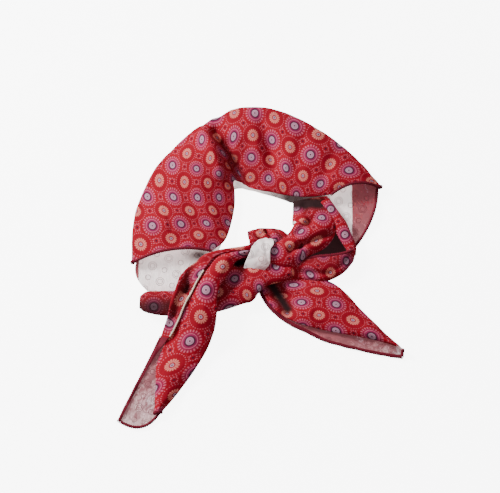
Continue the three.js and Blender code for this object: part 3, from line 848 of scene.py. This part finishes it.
def within(tree, distance, reach, soft=0.25):
    """1 where distance is less than reach, 0 where it is more, with a soft step between."""
    node = add_node(
        tree,
        "ShaderNodeMapRange",
        {"interpolation_type": "SMOOTHSTEP"},
        {"Value": distance, "From Min": reach - soft, "From Max": reach + soft, "To Min": 1, "To Max": 0},
    )
    return node.outputs["Result"]


def ring_mask(tree, radius, middle, half_width, soft=0.25):
    away = maths(tree, "ABSOLUTE", maths(tree, "SUBTRACT", radius, middle))
    return within(tree, away, half_width, soft)


def dots_mask(tree, radius, angle, middle, count, dot):
    """Round dots, evenly spaced on a circle."""
    turn = maths(tree, "MULTIPLY", angle, count / (2 * math.pi))
    share = maths(tree, "SUBTRACT", maths(tree, "FRACT", maths(tree, "ADD", turn, 100.0)), 0.5)
    along = maths(tree, "MULTIPLY", share, 2 * math.pi * middle / count)
    away = maths(tree, "SUBTRACT", radius, middle)
    square = maths(tree, "ADD", *(maths(tree, "MULTIPLY", part, part) for part in (along, away)))
    return within(tree, maths(tree, "SQRT", square), dot, 0.15)


def blended(tree, mask, under, over):
    node = add_node(
        tree, "ShaderNodeMix", {"data_type": "RGBA"}, {0: mask, 6: under, 7: over}
    )
    return node.outputs[2]


def flat_colour(value):
    return (*value, 1.0)


# Radii in the two medallions, in millimetres of cloth, how many dashes and petals go round them, and
# the rosette between four medallions: its dots' radius, number and size
PURPLE = dict(eye=0.6, fine_ring=1.5, middle=2.5, dark=3.5, line=4.8, disc=5.4, dashes=6.8, tint=7.2)
CREAM = dict(eye=0.5, middle=1.2, heart=2.0, gaps=3.5, petals=4.2, ground=7.4, near_dots=8.0, far_dots=9.5)
RAYS = 22.0
PETALS = 16.0
DOT = 0.38
ROSETTE = (2.1, 9, 0.4)
ROSETTE_EYE = 0.7

# Radii of the rings that the dye raises on the reverse
NARROW_RING = 3.3
WIDE_RING = 5.4


def print_group(sizes):
    """The foulard print as a node group: cream and purple medallions by turns on red, worked out in
    millimetres of cloth. It gives the eye the scale of the cloth and the way that it runs."""
    tree = bpy.data.node_groups.new("Medallion print", "ShaderNodeTree")
    tree.interface.new_socket("Cloth", in_out="INPUT", socket_type="NodeSocketVector")
    tree.interface.new_socket("Color", in_out="OUTPUT", socket_type="NodeSocketColor")
    source = add_node(tree, "NodeGroupInput")
    parts = add_node(tree, "ShaderNodeSeparateXYZ", {}, {0: source.outputs[0]})
    pitch = sizes.pitch * 1000
    local, cells = [], []
    for axis in (0, 1):
        cell = maths(tree, "ROUND", maths(tree, "DIVIDE", parts.outputs[axis], pitch))
        cells.append(cell)
        local.append(maths(tree, "SUBTRACT", parts.outputs[axis], maths(tree, "MULTIPLY", cell, pitch)))
    parity = maths(tree, "FLOORED_MODULO", maths(tree, "ADD", *cells), 2.0)
    square = maths(tree, "ADD", *(maths(tree, "MULTIPLY", part, part) for part in local))
    radius = maths(tree, "SQRT", square)
    angle = maths(tree, "ARCTAN2", local[1], local[0])
    half = pitch / 2
    corner = [maths(tree, "SUBTRACT", maths(tree, "ABSOLUTE", part), half) for part in local]
    corner_square = maths(tree, "ADD", *(maths(tree, "MULTIPLY", part, part) for part in corner))
    corner_radius = maths(tree, "SQRT", corner_square)
    corner_angle = maths(tree, "ARCTAN2", corner[1], corner[0])

    red = flat_colour(sizes.red)
    salmon = flat_colour(sizes.salmon)
    magenta = flat_colour(sizes.magenta)
    plum = flat_colour(sizes.plum)
    lilac = flat_colour(sizes.lilac)
    pink = flat_colour(sizes.pink)
    ray = maths(tree, "COSINE", maths(tree, "MULTIPLY", angle, RAYS))
    rays = within(tree, ray, -0.05, 0.4)
    petal = maths(tree, "COSINE", maths(tree, "MULTIPLY", angle, PETALS))
    between_petals = within(tree, petal, -0.45, 0.3)

    dashes = maths(tree, "MULTIPLY", ring_mask(tree, radius, PURPLE["dashes"], 0.8, 0.3), rays)
    tinted = maths(tree, "MULTIPLY", within(tree, radius, PURPLE["tint"], 1.0), 0.45)
    purple = blended(tree, tinted, red, magenta)
    purple = blended(tree, maths(tree, "MULTIPLY", dashes, 0.85), purple, pink)
    purple = blended(tree, within(tree, radius, PURPLE["disc"]), purple, magenta)
    purple = blended(tree, ring_mask(tree, radius, PURPLE["line"], 0.2, 0.2), purple, pink)
    purple = blended(tree, within(tree, radius, PURPLE["dark"], 0.4), purple, plum)
    purple = blended(tree, within(tree, radius, PURPLE["middle"], 0.4), purple, lilac)
    fine_ring = maths(tree, "MULTIPLY", ring_mask(tree, radius, PURPLE["fine_ring"], 0.2), 0.7)
    purple = blended(tree, fine_ring, purple, magenta)
    purple = blended(tree, within(tree, radius, PURPLE["eye"]), purple, plum)

    near_dots = dots_mask(tree, radius, angle, CREAM["near_dots"], 30, DOT)
    far_dots = dots_mask(tree, radius, angle, CREAM["far_dots"], 36, DOT)
    dots = maths(tree, "MULTIPLY", maths(tree, "MAXIMUM", near_dots, far_dots), 0.8)
    deep = maths(tree, "MULTIPLY", within(tree, radius, CREAM["ground"], 0.4), 0.3)
    cream = blended(tree, deep, red, flat_colour(sizes.deep_red))
    cream = blended(tree, dots, cream, pink)
    fringe = maths(tree, "MULTIPLY", petal, -0.35)
    flower = within(tree, maths(tree, "ADD", radius, fringe), CREAM["petals"])
    cream = blended(tree, flower, cream, salmon)
    gaps = maths(tree, "MULTIPLY", ring_mask(tree, radius, CREAM["gaps"], 1.1, 0.3), between_petals)
    cream = blended(tree, maths(tree, "MULTIPLY", gaps, 0.6), cream, red)
    cream = blended(tree, within(tree, radius, CREAM["heart"], 0.25), cream, red)
    cream = blended(tree, within(tree, radius, CREAM["middle"]), cream, lilac)
    cream = blended(tree, within(tree, radius, CREAM["eye"]), cream, plum)

    colour = blended(tree, parity, cream, purple)
    rosette = dots_mask(tree, corner_radius, corner_angle, *ROSETTE)
    colour = blended(tree, maths(tree, "MULTIPLY", rosette, 0.85), colour, pink)
    colour = blended(tree, within(tree, corner_radius, ROSETTE_EYE), colour, plum)
    wide_ring = maths(tree, "MULTIPLY", ring_mask(tree, radius, WIDE_RING, 0.25, 0.3), parity)
    rings = maths(tree, "MAXIMUM", ring_mask(tree, radius, NARROW_RING, 0.3, 0.35), wide_ring)
    tree.interface.new_socket("Rings", in_out="OUTPUT", socket_type="NodeSocketFloat")
    target = add_node(tree, "NodeGroupOutput")
    tree.links.new(colour, target.inputs[0])
    tree.links.new(rings, target.inputs[1])
    return tree


def mark_at(tree, name):
    """A value that the sheet carries at every point."""
    return add_node(tree, "ShaderNodeAttribute", {"attribute_name": name}).outputs["Fac"]


def cloth_tree(material, group, embossed, rings_of=None):
    """Starts a cloth material: the print's colour at each point, and the weave, the small crumples
    and the dye's raised rings as bump, which keep the cotton matt and soft in the light."""
    material.use_nodes = True
    tree = material.node_tree
    tree.nodes.clear()
    uv = add_node(tree, "ShaderNodeUVMap", {"uv_map": "cloth_mm"})
    pattern = add_node(tree, "ShaderNodeGroup", {"node_tree": group}, {0: uv.outputs[0]})
    waves = []
    for direction in ("X", "Y"):
        wave = add_node(
            tree,
            "ShaderNodeTexWave",
            {"bands_direction": direction},
            {"Vector": uv.outputs[0], "Scale": 0.75, "Distortion": 0.4},
        )
        waves.append(wave.outputs["Fac"])
    weave = maths(tree, "MAXIMUM", *waves)
    noise = add_node(
        tree,
        "ShaderNodeTexNoise",
        {},
        {"Vector": uv.outputs[0], "Scale": 0.16, "Detail": 5.0, "Roughness": 0.6},
    )
    crumples = add_node(
        tree,
        "ShaderNodeBump",
        {},
        {"Strength": 0.3 + 0.4 * embossed, "Distance": 0.0016, "Height": noise.outputs["Fac"]},
    )
    bump = add_node(
        tree,
        "ShaderNodeBump",
        {},
        {"Strength": 0.25, "Distance": 0.00015, "Height": weave, "Normal": crumples.outputs[0]},
    )
    if rings_of is not None:
        place = add_node(tree, "ShaderNodeTexCoord").outputs["Object"]
        placed = add_node(
            tree, "ShaderNodeMapping", {}, {"Vector": place, "Rotation": (0, 0, 0.35), "Scale": rings_of}
        ).outputs[0]
        rings = add_node(tree, "ShaderNodeGroup", {"node_tree": group}, {0: placed}).outputs[1]
    else:
        rings = pattern.outputs[1]
    raised = add_node(
        tree,
        "ShaderNodeBump",
        {},
        {"Strength": embossed, "Distance": 0.0012, "Height": rings, "Normal": bump.outputs[0]},
    )
    shader = add_node(
        tree,
        "ShaderNodeBsdfPrincipled",
        {},
        {"Roughness": 0.9, "Specular IOR Level": 0.15, "Normal": raised.outputs[0]},
    )
    output = add_node(tree, "ShaderNodeOutputMaterial")
    tree.links.new(shader.outputs[0], output.inputs[0])
    return tree, pattern.outputs, rings, noise.outputs["Fac"], shader


def shaded(tree, colour, sizes):
    """Darkens a colour where the sheet is marked as lying deep in a fold, beyond what the lights do."""
    return blended(tree, mark_at(tree, "shade"), colour, flat_colour(sizes.shadow))


def printed_cotton(sizes, group):
    """Printed cotton lawn, outer side: bright red ground, darker towards deep red in patches that follow
    the small crumples.
    """
    material = bpy.data.materials.new("printed_cotton")
    tree, pattern, rings, noise, shader = cloth_tree(material, group, 0.1)
    darkened = blended(tree, maths(tree, "MULTIPLY", noise, 0.3), pattern[0], flat_colour(sizes.deep_red))
    tree.links.new(shaded(tree, darkened, sizes), shader.inputs["Base Color"])
    return material


# How the reverse is marked. RINGS_SCALE is how many millimetres of print the rings take to a metre of
# place. The other scales are for each millimetre of cloth, and a gain is what each unit of print that shows
# through adds. The net's lines, the crumple patches and the deep red are painted shade, and the glow is
# painted light
RINGS_SCALE = 1700
RINGS_SHOWN = 0.75
GHOST_SHOWN = 0.06
# The net of fine creases, whose darker lines are painted shade
NET_SCALE = 0.55
NET_WIDTH = 0.12
NET_SHOWN = 0.6
CRUMPLE_SHADE_FROM = 0.45
CRUMPLE_SHADE_FULL = 0.6
CRUMPLE_SHADE_LEAST = 0.2
CRUMPLE_SHADE_GAIN = 2.2
LINES_LEAST = 0.16
LINES_GAIN = 2.0
GRAIN_SCALE = 0.5
FLECK_FROM = 0.5
FLECK_FULL = 0.62
FLECKS_GAIN = 2.4
DEEP_RED_SHADE_GAIN = 0.65
# How far the painted glow of the reverse is dimmed where the print shows through
GLOW_DIMMING = 0.5


def cotton_reverse(sizes, group):
    """Reverse of the same cotton: off-white, with the dye's rings raised and faintly pink, the print
    showing through, a net of fine creases darkened as painted shade, patches of painted shade for the small
    crumples and small dark flecks; where the print shows through strongly the reverse also goes towards
    deep red as painted shade. The reverse glows as painted light: an emission that stands in for the light
    thin cotton lets through, darker where the print shows through."""
    material = bpy.data.materials.new("cotton_reverse")
    tree, pattern, rings, noise, shader = cloth_tree(material, group, 0.8, (RINGS_SCALE,) * 3)
    across_border = maths(tree, "MINIMUM", maths(tree, "MAXIMUM", mark_at(tree, "border"), 0.0), 1.0)
    # The print's show-through, which is also painted shade where it is strong
    shown_and_shaded = maths(tree, "MULTIPLY", mark_at(tree, "show_through"), across_border)
    ringed = blended(
        tree,
        maths(tree, "MULTIPLY", rings, RINGS_SHOWN),
        flat_colour(sizes.reverse),
        flat_colour(sizes.shade),
    )
    ghost = blended(tree, maths(tree, "ADD", GHOST_SHOWN, shown_and_shaded), ringed, pattern[0])
    uv = add_node(tree, "ShaderNodeUVMap", {"uv_map": "cloth_mm"})
    # Painted shade: a net of fine creases drawn as darker lines
    net = add_node(
        tree,
        "ShaderNodeTexVoronoi",
        {"feature": "DISTANCE_TO_EDGE"},
        {"Vector": uv.outputs[0], "Scale": NET_SCALE},
    )
    on_net = within(tree, net.outputs["Distance"], NET_WIDTH, NET_WIDTH)
    crease = maths(tree, "MULTIPLY", on_net, NET_SHOWN)
    marked = maths(tree, "MAXIMUM", crease, maths(tree, "MAXIMUM", rings, pattern[1]))
    # Painted shade: darker patches where the crumples' noise is high, stronger where the print shows
    # through
    crumple_patches = add_node(
        tree,
        "ShaderNodeMapRange",
        {},
        {"Value": noise, "From Min": CRUMPLE_SHADE_FROM, "From Max": CRUMPLE_SHADE_FULL, "To Min": 0.0, "To Max": 1.0},
    ).outputs["Result"]
    crumple_shade_strength = maths(tree, "ADD", CRUMPLE_SHADE_LEAST, maths(tree, "MULTIPLY", shown_and_shaded, CRUMPLE_SHADE_GAIN))
    crumple_shade = maths(tree, "MULTIPLY", crumple_patches, crumple_shade_strength)
    lines = maths(tree, "ADD", LINES_LEAST, maths(tree, "MULTIPLY", shown_and_shaded, LINES_GAIN))
    lined = maths(tree, "MULTIPLY", marked, lines)
    grain = add_node(
        tree,
        "ShaderNodeTexNoise",
        {},
        {"Vector": uv.outputs[0], "Scale": GRAIN_SCALE, "Detail": 2.0, "Roughness": 0.5},
    )
    flecks = add_node(
        tree,
        "ShaderNodeMapRange",
        {},
        {"Value": grain.outputs["Fac"], "From Min": FLECK_FROM, "From Max": FLECK_FULL},
    ).outputs["Result"]
    flecked = maths(tree, "MULTIPLY", flecks, maths(tree, "MULTIPLY", shown_and_shaded, FLECKS_GAIN))
    marked = maths(tree, "MAXIMUM", flecked, maths(tree, "MAXIMUM", crumple_shade, lined))
    darkened = blended(tree, marked, ghost, flat_colour(sizes.shade))
    # Painted shade: the reverse goes towards deep red where the print shows through most
    dimmed = blended(tree, maths(tree, "MULTIPLY", shown_and_shaded, DEEP_RED_SHADE_GAIN), darkened, flat_colour(sizes.deep_red))
    colour = shaded(tree, dimmed, sizes)
    tree.links.new(colour, shader.inputs["Base Color"])
    # Painted light: the reverse glows with an emission of its own colour, dimmed towards the shadow colour
    # where the print shows through
    glow_dimming = maths(tree, "MULTIPLY", shown_and_shaded, GLOW_DIMMING)
    painted_glow = blended(tree, glow_dimming, colour, flat_colour(sizes.shadow))
    tree.links.new(painted_glow, shader.inputs["Emission Color"])
    shader.inputs["Emission Strength"].default_value = REVERSE_GLOW
    return material


def spun_thread(name, light, dark):
    """Spun polyester overlock thread round the cloth's raw edges, a little glossier than the cotton."""
    material = bpy.data.materials.new(name)
    material.use_nodes = True
    tree = material.node_tree
    tree.nodes.clear()
    place = add_node(tree, "ShaderNodeTexCoord")
    noise = add_node(
        tree,
        "ShaderNodeTexNoise",
        {},
        {"Vector": place.outputs["Object"], "Scale": 900.0, "Detail": 2.0},
    )
    share = maths(tree, "MULTIPLY", noise.outputs["Fac"], 0.6)
    colour = blended(tree, share, flat_colour(light), flat_colour(dark))
    shader = add_node(
        tree,
        "ShaderNodeBsdfPrincipled",
        {},
        {"Base Color": colour, "Roughness": 0.7, "Specular IOR Level": 0.2},
    )
    output = add_node(tree, "ShaderNodeOutputMaterial")
    tree.links.new(shader.outputs[0], output.inputs[0])
    return material


def named_input(tree, name, kind):
    return tree.interface.new_socket(name, in_out="INPUT", socket_type=kind)


def hem_tree():
    """Geometry nodes that roll a hem along a line of edges and overlock it with slanting stitches."""
    tree = bpy.data.node_groups.new("Overlocked hem", "GeometryNodeTree")
    tree.is_modifier = True
    named_input(tree, "Edges", "NodeSocketGeometry")
    named_input(tree, "Hem Radius", "NodeSocketFloat")
    named_input(tree, "Stitch Spacing", "NodeSocketFloat")
    named_input(tree, "Thread Radius", "NodeSocketFloat")
    named_input(tree, "Thread", "NodeSocketMaterial")
    tree.interface.new_socket("Hem", in_out="OUTPUT", socket_type="NodeSocketGeometry")
    source = add_node(tree, "NodeGroupInput").outputs
    line = add_node(tree, "GeometryNodeMeshToCurve", {}, {0: source["Edges"]}).outputs[0]
    even = add_node(
        tree,
        "GeometryNodeResampleCurve",
        {"mode": "LENGTH"},
        {"Curve": line, "Length": source["Stitch Spacing"]},
    ).outputs[0]
    hem_circle = add_node(
        tree, "GeometryNodeCurvePrimitiveCircle", {}, {"Resolution": 8, "Radius": source["Hem Radius"]}
    ).outputs[0]
    roll = add_node(
        tree,
        "GeometryNodeCurveToMesh",
        {},
        {"Curve": even, "Profile Curve": hem_circle, "Fill Caps": True},
    ).outputs[0]
    proud = maths(tree, "MULTIPLY", source["Thread Radius"], STITCH_PROUD)
    ring_radius = maths(tree, "ADD", source["Hem Radius"], proud)
    ring = add_node(
        tree, "GeometryNodeCurvePrimitiveCircle", {}, {"Resolution": 10, "Radius": ring_radius}
    ).outputs[0]
    thread_circle = add_node(
        tree, "GeometryNodeCurvePrimitiveCircle", {}, {"Resolution": 5, "Radius": source["Thread Radius"]}
    ).outputs[0]
    stitch = add_node(
        tree, "GeometryNodeCurveToMesh", {}, {"Curve": ring, "Profile Curve": thread_circle}
    ).outputs[0]
    slanted = add_node(
        tree,
        "GeometryNodeTransform",
        {},
        {"Geometry": stitch, "Rotation": (math.radians(STITCH_SLANT), 0, 0)},
    ).outputs[0]
    places = add_node(
        tree,
        "GeometryNodeCurveToPoints",
        {"mode": "LENGTH"},
        {"Curve": line, "Length": source["Stitch Spacing"]},
    ).outputs
    stitches = add_node(
        tree,
        "GeometryNodeInstanceOnPoints",
        {},
        {"Points": places["Points"], "Instance": slanted, "Rotation": places["Rotation"]},
    ).outputs[0]
    both = add_node(tree, "GeometryNodeJoinGeometry")
    tree.links.new(roll, both.inputs[0])
    tree.links.new(stitches, both.inputs[0])
    real = add_node(tree, "GeometryNodeRealizeInstances", {}, {"Geometry": both.outputs[0]}).outputs[0]
    smooth = add_node(tree, "GeometryNodeSetShadeSmooth", {}, {"Geometry": real}).outputs[0]
    dressed = add_node(
        tree, "GeometryNodeSetMaterial", {}, {"Geometry": smooth, "Material": source["Thread"]}
    ).outputs[0]
    target = add_node(tree, "NodeGroupOutput")
    tree.links.new(dressed, target.inputs[0])
    return tree


def overlocked(name, lines, thread="hem_thread", slimness=1.0):
    """A hem with its stitches along lines of points in millimetres."""
    sizes = bpy.context.scene.neckerchief
    centre = np.array(loop_centre())
    vertices, edges = [], []
    lowest = sizes.hem_radius * slimness + 2 * sizes.stitch_radius
    for line in lines:
        first = len(vertices)
        line = line / 1000 + centre
        line[:, 2] = np.maximum(line[:, 2], lowest)
        vertices += line.tolist()
        edges += [(k, k + 1) for k in range(first, first + len(line) - 1)]
    mesh = bpy.data.meshes.new(name)
    mesh.from_pydata(vertices, edges, [])
    obj = bpy.data.objects.new(name, mesh)
    bpy.context.scene.collection.objects.link(obj)
    tree = bpy.data.node_groups.get("Overlocked hem") or hem_tree()
    modifier = obj.modifiers.new("hem", "NODES")
    modifier.node_group = tree
    values = {
        "Hem Radius": sizes.hem_radius * slimness,
        "Stitch Spacing": sizes.stitch_spacing,
        "Thread Radius": sizes.stitch_radius,
        "Thread": MATERIALS[thread],
    }
    for item in tree.interface.items_tree:
        if item.name in values:
            modifier[item.identifier] = values[item.name]
    evaluated = obj.evaluated_get(bpy.context.evaluated_depsgraph_get())
    hem = bpy.data.meshes.new_from_object(evaluated)
    obj.modifiers.clear()
    obj.data = hem
    bpy.data.meshes.remove(mesh)
    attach(obj, "root")
    return obj


MATERIALS = {}


def finished(obj, node):
    """Gives a sheet its materials, attaches it to the root body and hides the part that it stands for."""
    for name in ("printed_cotton", "cotton_reverse", "hem_thread"):
        obj.data.materials.append(MATERIALS[name])
    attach(obj, "root")
    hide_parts(node)


def make_sheet(
    name, node, points, fold_column, ring=False, outside=0, rim_slot=2, seed=1, wrinkle=0.35,
    wrinkle_size=26, hem=None, shown_and_shaded=0, border=None, depth=0,
):
    """Gives back the points as laid."""
    sizes = bpy.context.scene.neckerchief
    pitch = sizes.pitch * 1000
    points, shade = press_folds(points, FOLDS[node])
    points = settled(crumple(points, wrinkle, wrinkle_size, seed), ring)
    every = np.zeros(points.shape[:2])
    marks = {
        "shade": np.maximum(shade, depth),
        "show_through": every + shown_and_shaded,
        "border": every + 1 if border is None else border,
    }
    points[..., 2] = np.maximum(points[..., 2], sizes.thickness * 500 + 0.1)
    along, across = cloth_lengths(points, fold_column, ring)
    if node == "neck_band":
        uv = band_print_lengths(across, len(points) - 1, pitch)
    else:
        uv = print_lengths(along, across, PRINTS[node], pitch)
    obj = sheet_object(name, points, uv, sizes.thickness, ring, outside, rim_slot, hem, marks)
    finished(obj, node)
    return points


class BandOperator(bpy.types.Operator):
    """Makes the wide folded band round the back of the loop"""

    bl_idname = "neckerchief.band"
    bl_label = "Band"

    def execute(self, context):
        points, fold_column = band_points()
        edge_of_panel = PANEL_START * HALF_WIDTH
        beyond = np.maximum(points[..., 0] - edge_of_panel, CORNER_END * HALF_WIDTH - points[..., 0])
        border = beyond / PANEL_BLUR
        bottom, top = PANEL_FADE
        fade = np.clip((points[..., 1] / HALF_DEPTH - bottom) / (top - bottom), 0, 1)
        panel = PANEL_SHOWN * (PANEL_LEAST + (1 - PANEL_LEAST) * fade)
        # Print showing through the reverse at the corners, with painted shade that darkens the right
        # corner's panel towards the band's lip
        shown_and_shaded = np.where(points[..., 0] < 0, CORNER_SHOWN, panel)
        # Painted shade on the band's lower layer under the neck edge and at the left lip
        start, end = NECK_SHADE
        share = (points[..., 0] / HALF_WIDTH - start) / (end - start)
        depth = 0.95 * np.clip(2.5 * share, 0, 1) * np.clip(8 * (1 - share), 0, 1)
        away = (points[..., :2] / np.array([HALF_WIDTH, HALF_DEPTH]) - LIP_SHADE) / LIP_SHADE_SIZE
        depth = np.maximum(depth, np.exp(-np.sum(away ** 2, axis=-1)))
        depth[:, :fold_column + 6] = 0
        points = make_sheet(
            "band_cloth", "neck_band", points, fold_column, seed=3, rim_slot=1, shown_and_shaded=shown_and_shaded, border=border,
            depth=depth,
        )
        overlocked("band_hems", [points[0, :fold_column + 4], points[-1]])
        return {"FINISHED"}


class RollsOperator(bpy.types.Operator):
    """Makes the rolled stretches beside the knot and the turned hem at the right"""

    bl_idname = "neckerchief.rolls"
    bl_label = "Rolled stretches"

    def execute(self, context):
        points, fold_column = roll_points(LEFT_ROLL, ROLL_WIDTH, ROLL_HEIGHT, 90)
        make_sheet("left_roll_cloth", "left_roll", points, fold_column, seed=5)
        points, fold_column = roll_points(RIGHT_ROLL, ROLL_WIDTH, ROLL_HEIGHT, 70)
        make_sheet("right_roll_cloth", "right_roll", points, fold_column, seed=7)
        points, fold_column = roll_points(STRIP, STRIP_WIDTH, STRIP_HEIGHT, 50)
        make_sheet("right_strip_cloth", "right_strip", points, fold_column, seed=9)
        points, fold_column = pocket_points()
        # Painted shade: the pocket's back layer, seen through its mouth, is darkened in full
        depth = np.zeros(points.shape[:2])
        depth[:, fold_column:] = 1
        points = make_sheet("right_pocket_cloth", "right_pocket", points, fold_column, seed=11, depth=depth)
        overlocked("pocket_hem", [points[:, 0]])
        return {"FINISHED"}


class KnotOperator(bpy.types.Operator):
    """Makes the wrap over the knot and the crumpled end beside it"""

    bl_idname = "neckerchief.knot"
    bl_label = "Knot"

    def execute(self, context):
        points, middle = wrap_points()
        away = np.linalg.norm(points[..., :2] - np.array(WRAP) - WRAP_PATCH, axis=-1)
        shown_and_shaded = WRAP_SHOWN * dip(away, 0, WRAP_PATCH_SIZE)
        make_sheet(
            "knot_wrap_cloth", "knot_wrap", points, middle, ring=True, outside=1, rim_slot=1, seed=13,
            wrinkle=0.5, wrinkle_size=11, shown_and_shaded=shown_and_shaded,
        )
        points, fold_column = roll_points(TUCK, ROLL_WIDTH, ROLL_HEIGHT, 50)
        make_sheet(
            "knot_tuck_cloth", "knot_tuck", points, fold_column, seed=15, wrinkle=0.9, wrinkle_size=12
        )
        return {"FINISHED"}


def make_tail(side, table, length, steps, seed):
    """One free end with its hems: narrow hems are all thread, and a wide turned one is edged by it."""
    points, fold_column = tail_points(table, length, steps)
    row = rows_at(table, np.linspace(0, 1, steps + 1))
    turned = np.arange(points.shape[1]) >= fold_column + TAIL_TURN_COLUMN
    narrow = row["strip"] < NARROW_HEM
    hem = (narrow[:, None] & turned[None, :])[:-1, :-1]
    # Show-through on the free ends, growing towards the knot as painted shade
    toward_knot = np.clip(1 - 2.5 * (np.linspace(0, 1, steps + 1) - 0.62), 0, 1)
    shown_and_shaded = (TAIL_SHOWN * (1 + TAIL_SHOWN_GAIN * toward_knot))[:, None]
    points = make_sheet(
        side + "_tail_cloth", side + "_tail", points, fold_column, seed=seed, hem=hem, shown_and_shaded=shown_and_shaded
    )
    low_edge = points[narrow][:, fold_column + TAIL_LOW_COLUMN]
    overlocked(side + "_tail_hems", [low_edge, points[-1, :fold_column + TAIL_TURN_COLUMN]])
    if not narrow[:len(narrow) // 2].all():
        wide = points[~narrow][:, -1]
        overlocked(side + "_hem_edge", [wide[len(wide) // 3:]], thread="cream_thread", slimness=0.5)


class TailsOperator(bpy.types.Operator):
    """Makes the two free ends"""

    bl_idname = "neckerchief.tails"
    bl_label = "Free ends"

    def execute(self, context):
        make_tail("left", LEFT_END, LEFT_TAIL, 130, seed=17)
        make_tail("right", RIGHT_END, RIGHT_TAIL, 100, seed=19)
        return {"FINISHED"}


class StageOperator(bpy.types.Operator):
    """Makes the pale floor, the soft lights and the camera"""

    bl_idname = "neckerchief.stage"
    bl_label = "Stage"

    def execute(self, context):
        make_floor()
        make_lights()
        make_camera()
        return {"FINISHED"}


def make_floor():
    mesh = bpy.data.meshes.new("floor")
    reach = 3.0
    corners = [(-reach, -reach, 0), (reach, -reach, 0), (reach, reach, 0), (-reach, reach, 0)]
    mesh.from_pydata(corners, [], [(0, 1, 2, 3)])
    floor = bpy.data.objects.new("floor", mesh)
    material = bpy.data.materials.new("pale_paper")
    material.use_nodes = True
    shader = material.node_tree.nodes["Principled BSDF"]
    shader.inputs["Base Color"].default_value = (0.92, 0.92, 0.92, 1)
    shader.inputs["Roughness"].default_value = 0.9
    shader.inputs["Emission Color"].default_value = (1, 1, 1, 1)
    shader.inputs["Emission Strength"].default_value = 7.0
    mesh.materials.append(material)
    bpy.context.scene.collection.objects.link(floor)
    floor.visible_diffuse = False
    floor.visible_glossy = False


def area_light(name, place, size, power):
    light = bpy.data.lights.new(name, "AREA")
    light.size = size
    light.energy = power
    obj = bpy.data.objects.new(name, light)
    obj.location = place
    obj.rotation_euler = (-Vector(place)).to_track_quat("-Z", "Y").to_euler()
    bpy.context.scene.collection.objects.link(obj)


def make_lights():
    world = bpy.data.worlds.new("studio")
    world.use_nodes = True
    background = world.node_tree.nodes["Background"]
    background.inputs["Color"].default_value = (1, 1, 1, 1)
    background.inputs["Strength"].default_value = 0.28
    bpy.context.scene.world = world
    area_light("key", (-1.0, 0.6, 0.75), 0.4, 36)
    area_light("fill", (0.9, 0.2, 1.2), 1.2, 4.0)


def make_camera():
    """Looks down at 75 degrees from the side of the free ends, as in the photo."""
    elevation = math.radians(75)
    distance = 2.0
    picture_width_px = 500
    size_of_pixel = 0.00078
    sensor = 36.0
    camera_data = bpy.data.cameras.new("camera")
    camera_data.sensor_width = sensor
    camera_data.lens = sensor * distance / (picture_width_px * size_of_pixel)
    camera = bpy.data.objects.new("camera", camera_data)
    aim = loop_centre() + Vector((-0.0055, -0.0395, 0))
    camera.location = aim + distance * Vector((0, -math.cos(elevation), math.sin(elevation)))
    camera.rotation_euler = (aim - camera.location).to_track_quat("-Z", "Y").to_euler()
    bpy.context.scene.collection.objects.link(camera)
    bpy.context.scene.camera = camera


OPERATORS = (BandOperator, RollsOperator, KnotOperator, TailsOperator, StageOperator)


class NeckerchiefPanel(bpy.types.Panel):
    """Lists the sizes and the pieces in the 3D view's sidebar"""

    bl_idname = "VIEW3D_PT_neckerchief"
    bl_label = "Neckerchief"
    bl_space_type = "VIEW_3D"
    bl_region_type = "UI"
    bl_category = "Neckerchief"

    def draw(self, context):
        for name in NeckerchiefSizes.__annotations__:
            self.layout.prop(context.scene.neckerchief, name)
        for operator in OPERATORS:
            self.layout.operator(operator.bl_idname)


CLASSES = (NeckerchiefSizes, *OPERATORS, NeckerchiefPanel)


def register():
    for item in CLASSES:
        bpy.utils.register_class(item)
    bpy.types.Scene.neckerchief = PointerProperty(type=NeckerchiefSizes)


def unregister():
    del bpy.types.Scene.neckerchief
    for item in reversed(CLASSES):
        bpy.utils.unregister_class(item)


def main():
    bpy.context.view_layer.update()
    register()
    sizes = bpy.context.scene.neckerchief
    group = print_group(sizes)
    MATERIALS["printed_cotton"] = printed_cotton(sizes, group)
    MATERIALS["cotton_reverse"] = cotton_reverse(sizes, group)
    MATERIALS["hem_thread"] = spun_thread("hem_thread", sizes.deep_red, sizes.plum)
    MATERIALS["cream_thread"] = spun_thread("cream_thread", sizes.cream, sizes.reverse)
    bpy.ops.neckerchief.band()
    bpy.ops.neckerchief.rolls()
    bpy.ops.neckerchief.knot()
    bpy.ops.neckerchief.tails()
    bpy.ops.neckerchief.stage()


if __name__ == "__main__":
    main()
